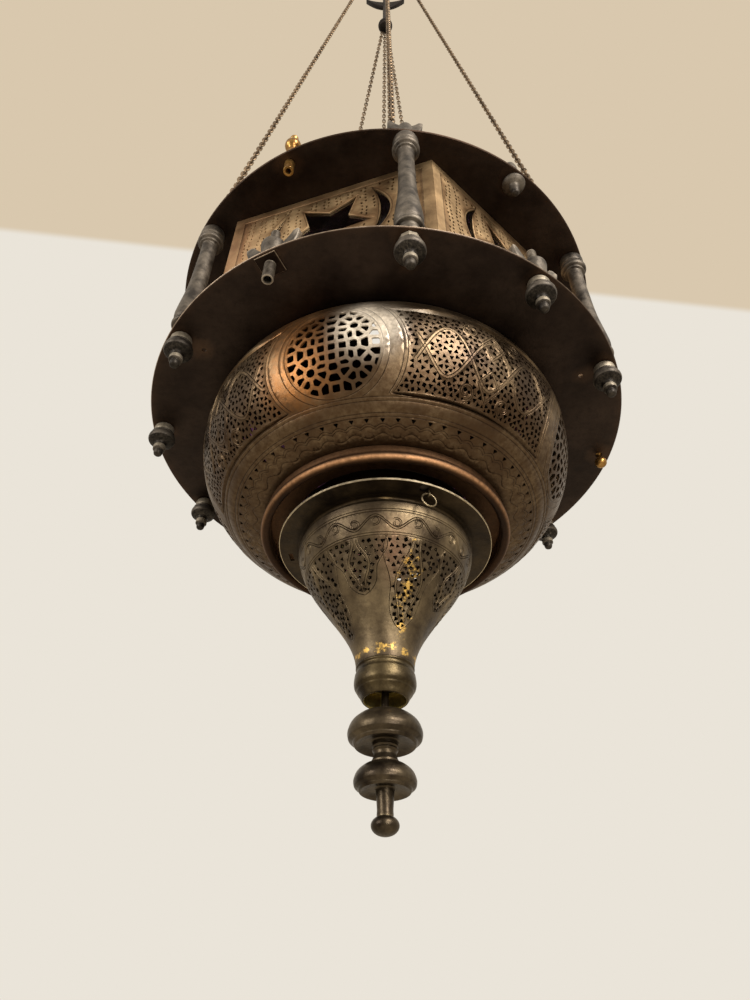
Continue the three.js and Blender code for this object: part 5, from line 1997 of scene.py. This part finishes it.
def make_camera():
    camera = linked("camera", bpy.data.cameras.new("camera"))
    camera.location = CAMERA_PLACE
    yaw, pitch, roll = (math.radians(v) for v in (CAMERA_YAW, CAMERA_PITCH, CAMERA_ROLL))
    forward = Vector((math.sin(yaw) * math.cos(pitch), math.cos(yaw) * math.cos(pitch), math.sin(pitch)))
    right = forward.cross(Vector((0, 0, 1))).normalized()
    up = right.cross(forward)
    across = right * math.cos(roll) + up * math.sin(roll)
    upward = up * math.cos(roll) - right * math.sin(roll)
    camera.rotation_euler = Matrix((across, upward, -forward)).transposed().to_euler()
    camera.data.sensor_width = SENSOR
    camera.data.lens = LENS
    camera.data.clip_start = NEAREST
    bpy.context.scene.camera = camera


def make_lights():
    for name, (x, y, rise), size, power, colour in LIGHTS:
        data = bpy.data.lights.new(name, "AREA")
        data.shape = "RECTANGLE"
        data.size, data.size_y = size
        data.energy = power
        data.color = colour
        lamp = linked(name, data)
        lamp.location = (x, y, BASE.z + rise)
        lamp.rotation_euler = (Vector((0, 0, BASE.z)) - lamp.location).to_track_quat("-Z", "Y").to_euler()


def make_world():
    """A wall and a ceiling for the camera, and a soft room, darker below, for everything else."""
    world = bpy.data.worlds.new("pale_room")
    bpy.context.scene.world = world
    world.use_nodes = True
    world.node_tree.nodes.clear()
    nodes = Nodes(world.node_tree, "Generated")

    def graded(along, low, high, tones):
        """A colour that goes by how far a direction points along a vector."""
        reach = nodes.add("VectorMath", operation="DOT_PRODUCT")
        nodes.feed(reach.inputs[0], nodes.place)
        nodes.feed(reach.inputs[1], along)
        share = nodes.ramp(reach.outputs["Value"], low, high, kind="SMOOTHSTEP")
        background = nodes.add("Background")
        nodes.link(nodes.mix(share, *(linear(tone) for tone in tones)), background.inputs["Color"])
        return background.outputs[0]

    path = nodes.add("LightPath").outputs
    mix = nodes.add("MixShader")
    nodes.link(nodes.math("MAXIMUM", path["Is Camera Ray"], path["Is Transmission Ray"]), mix.inputs["Fac"])
    nodes.link(graded((0.0, 0.0, 1.0), -0.7, 0.5, ROOM_TONES), mix.inputs[1])
    nodes.link(graded(CEILING_EDGE, -0.006, 0.012, SEEN_TONES), mix.inputs[2])
    nodes.link(mix.outputs[0], nodes.add("OutputWorld").inputs["Surface"])


def make_floor():
    mesh = bpy.data.meshes.new("floor")
    corners = rectangle(-FLOOR_HALF, -FLOOR_HALF, FLOOR_HALF, FLOOR_HALF)
    mesh.from_pydata([(x, y, FLOOR_Z) for x, y in corners], [], [[0, 1, 2, 3]])
    floor = linked("floor", mesh)
    nodes = Surface("pale_floor")
    tones = nodes.mix(nodes.ramp(nodes.noise(3.0), 0.3, 0.7), *(linear(tone) for tone in FLOOR_TONES))
    nodes.link(tones, nodes.shader["Base Color"])
    nodes.set("Roughness", 0.9)
    mesh.materials.append(nodes.material)


make_camera()
make_world()
make_lights()
make_floor()
make_discs()
make_balusters()
make_bolts()
make_box()
make_bowl()
make_base_ring()
make_cone()
make_finial()
make_lamp()
make_chains()
make_hanger()
make_ring_and_hook()

bpy.context.scene.view_settings.view_transform = "Standard"
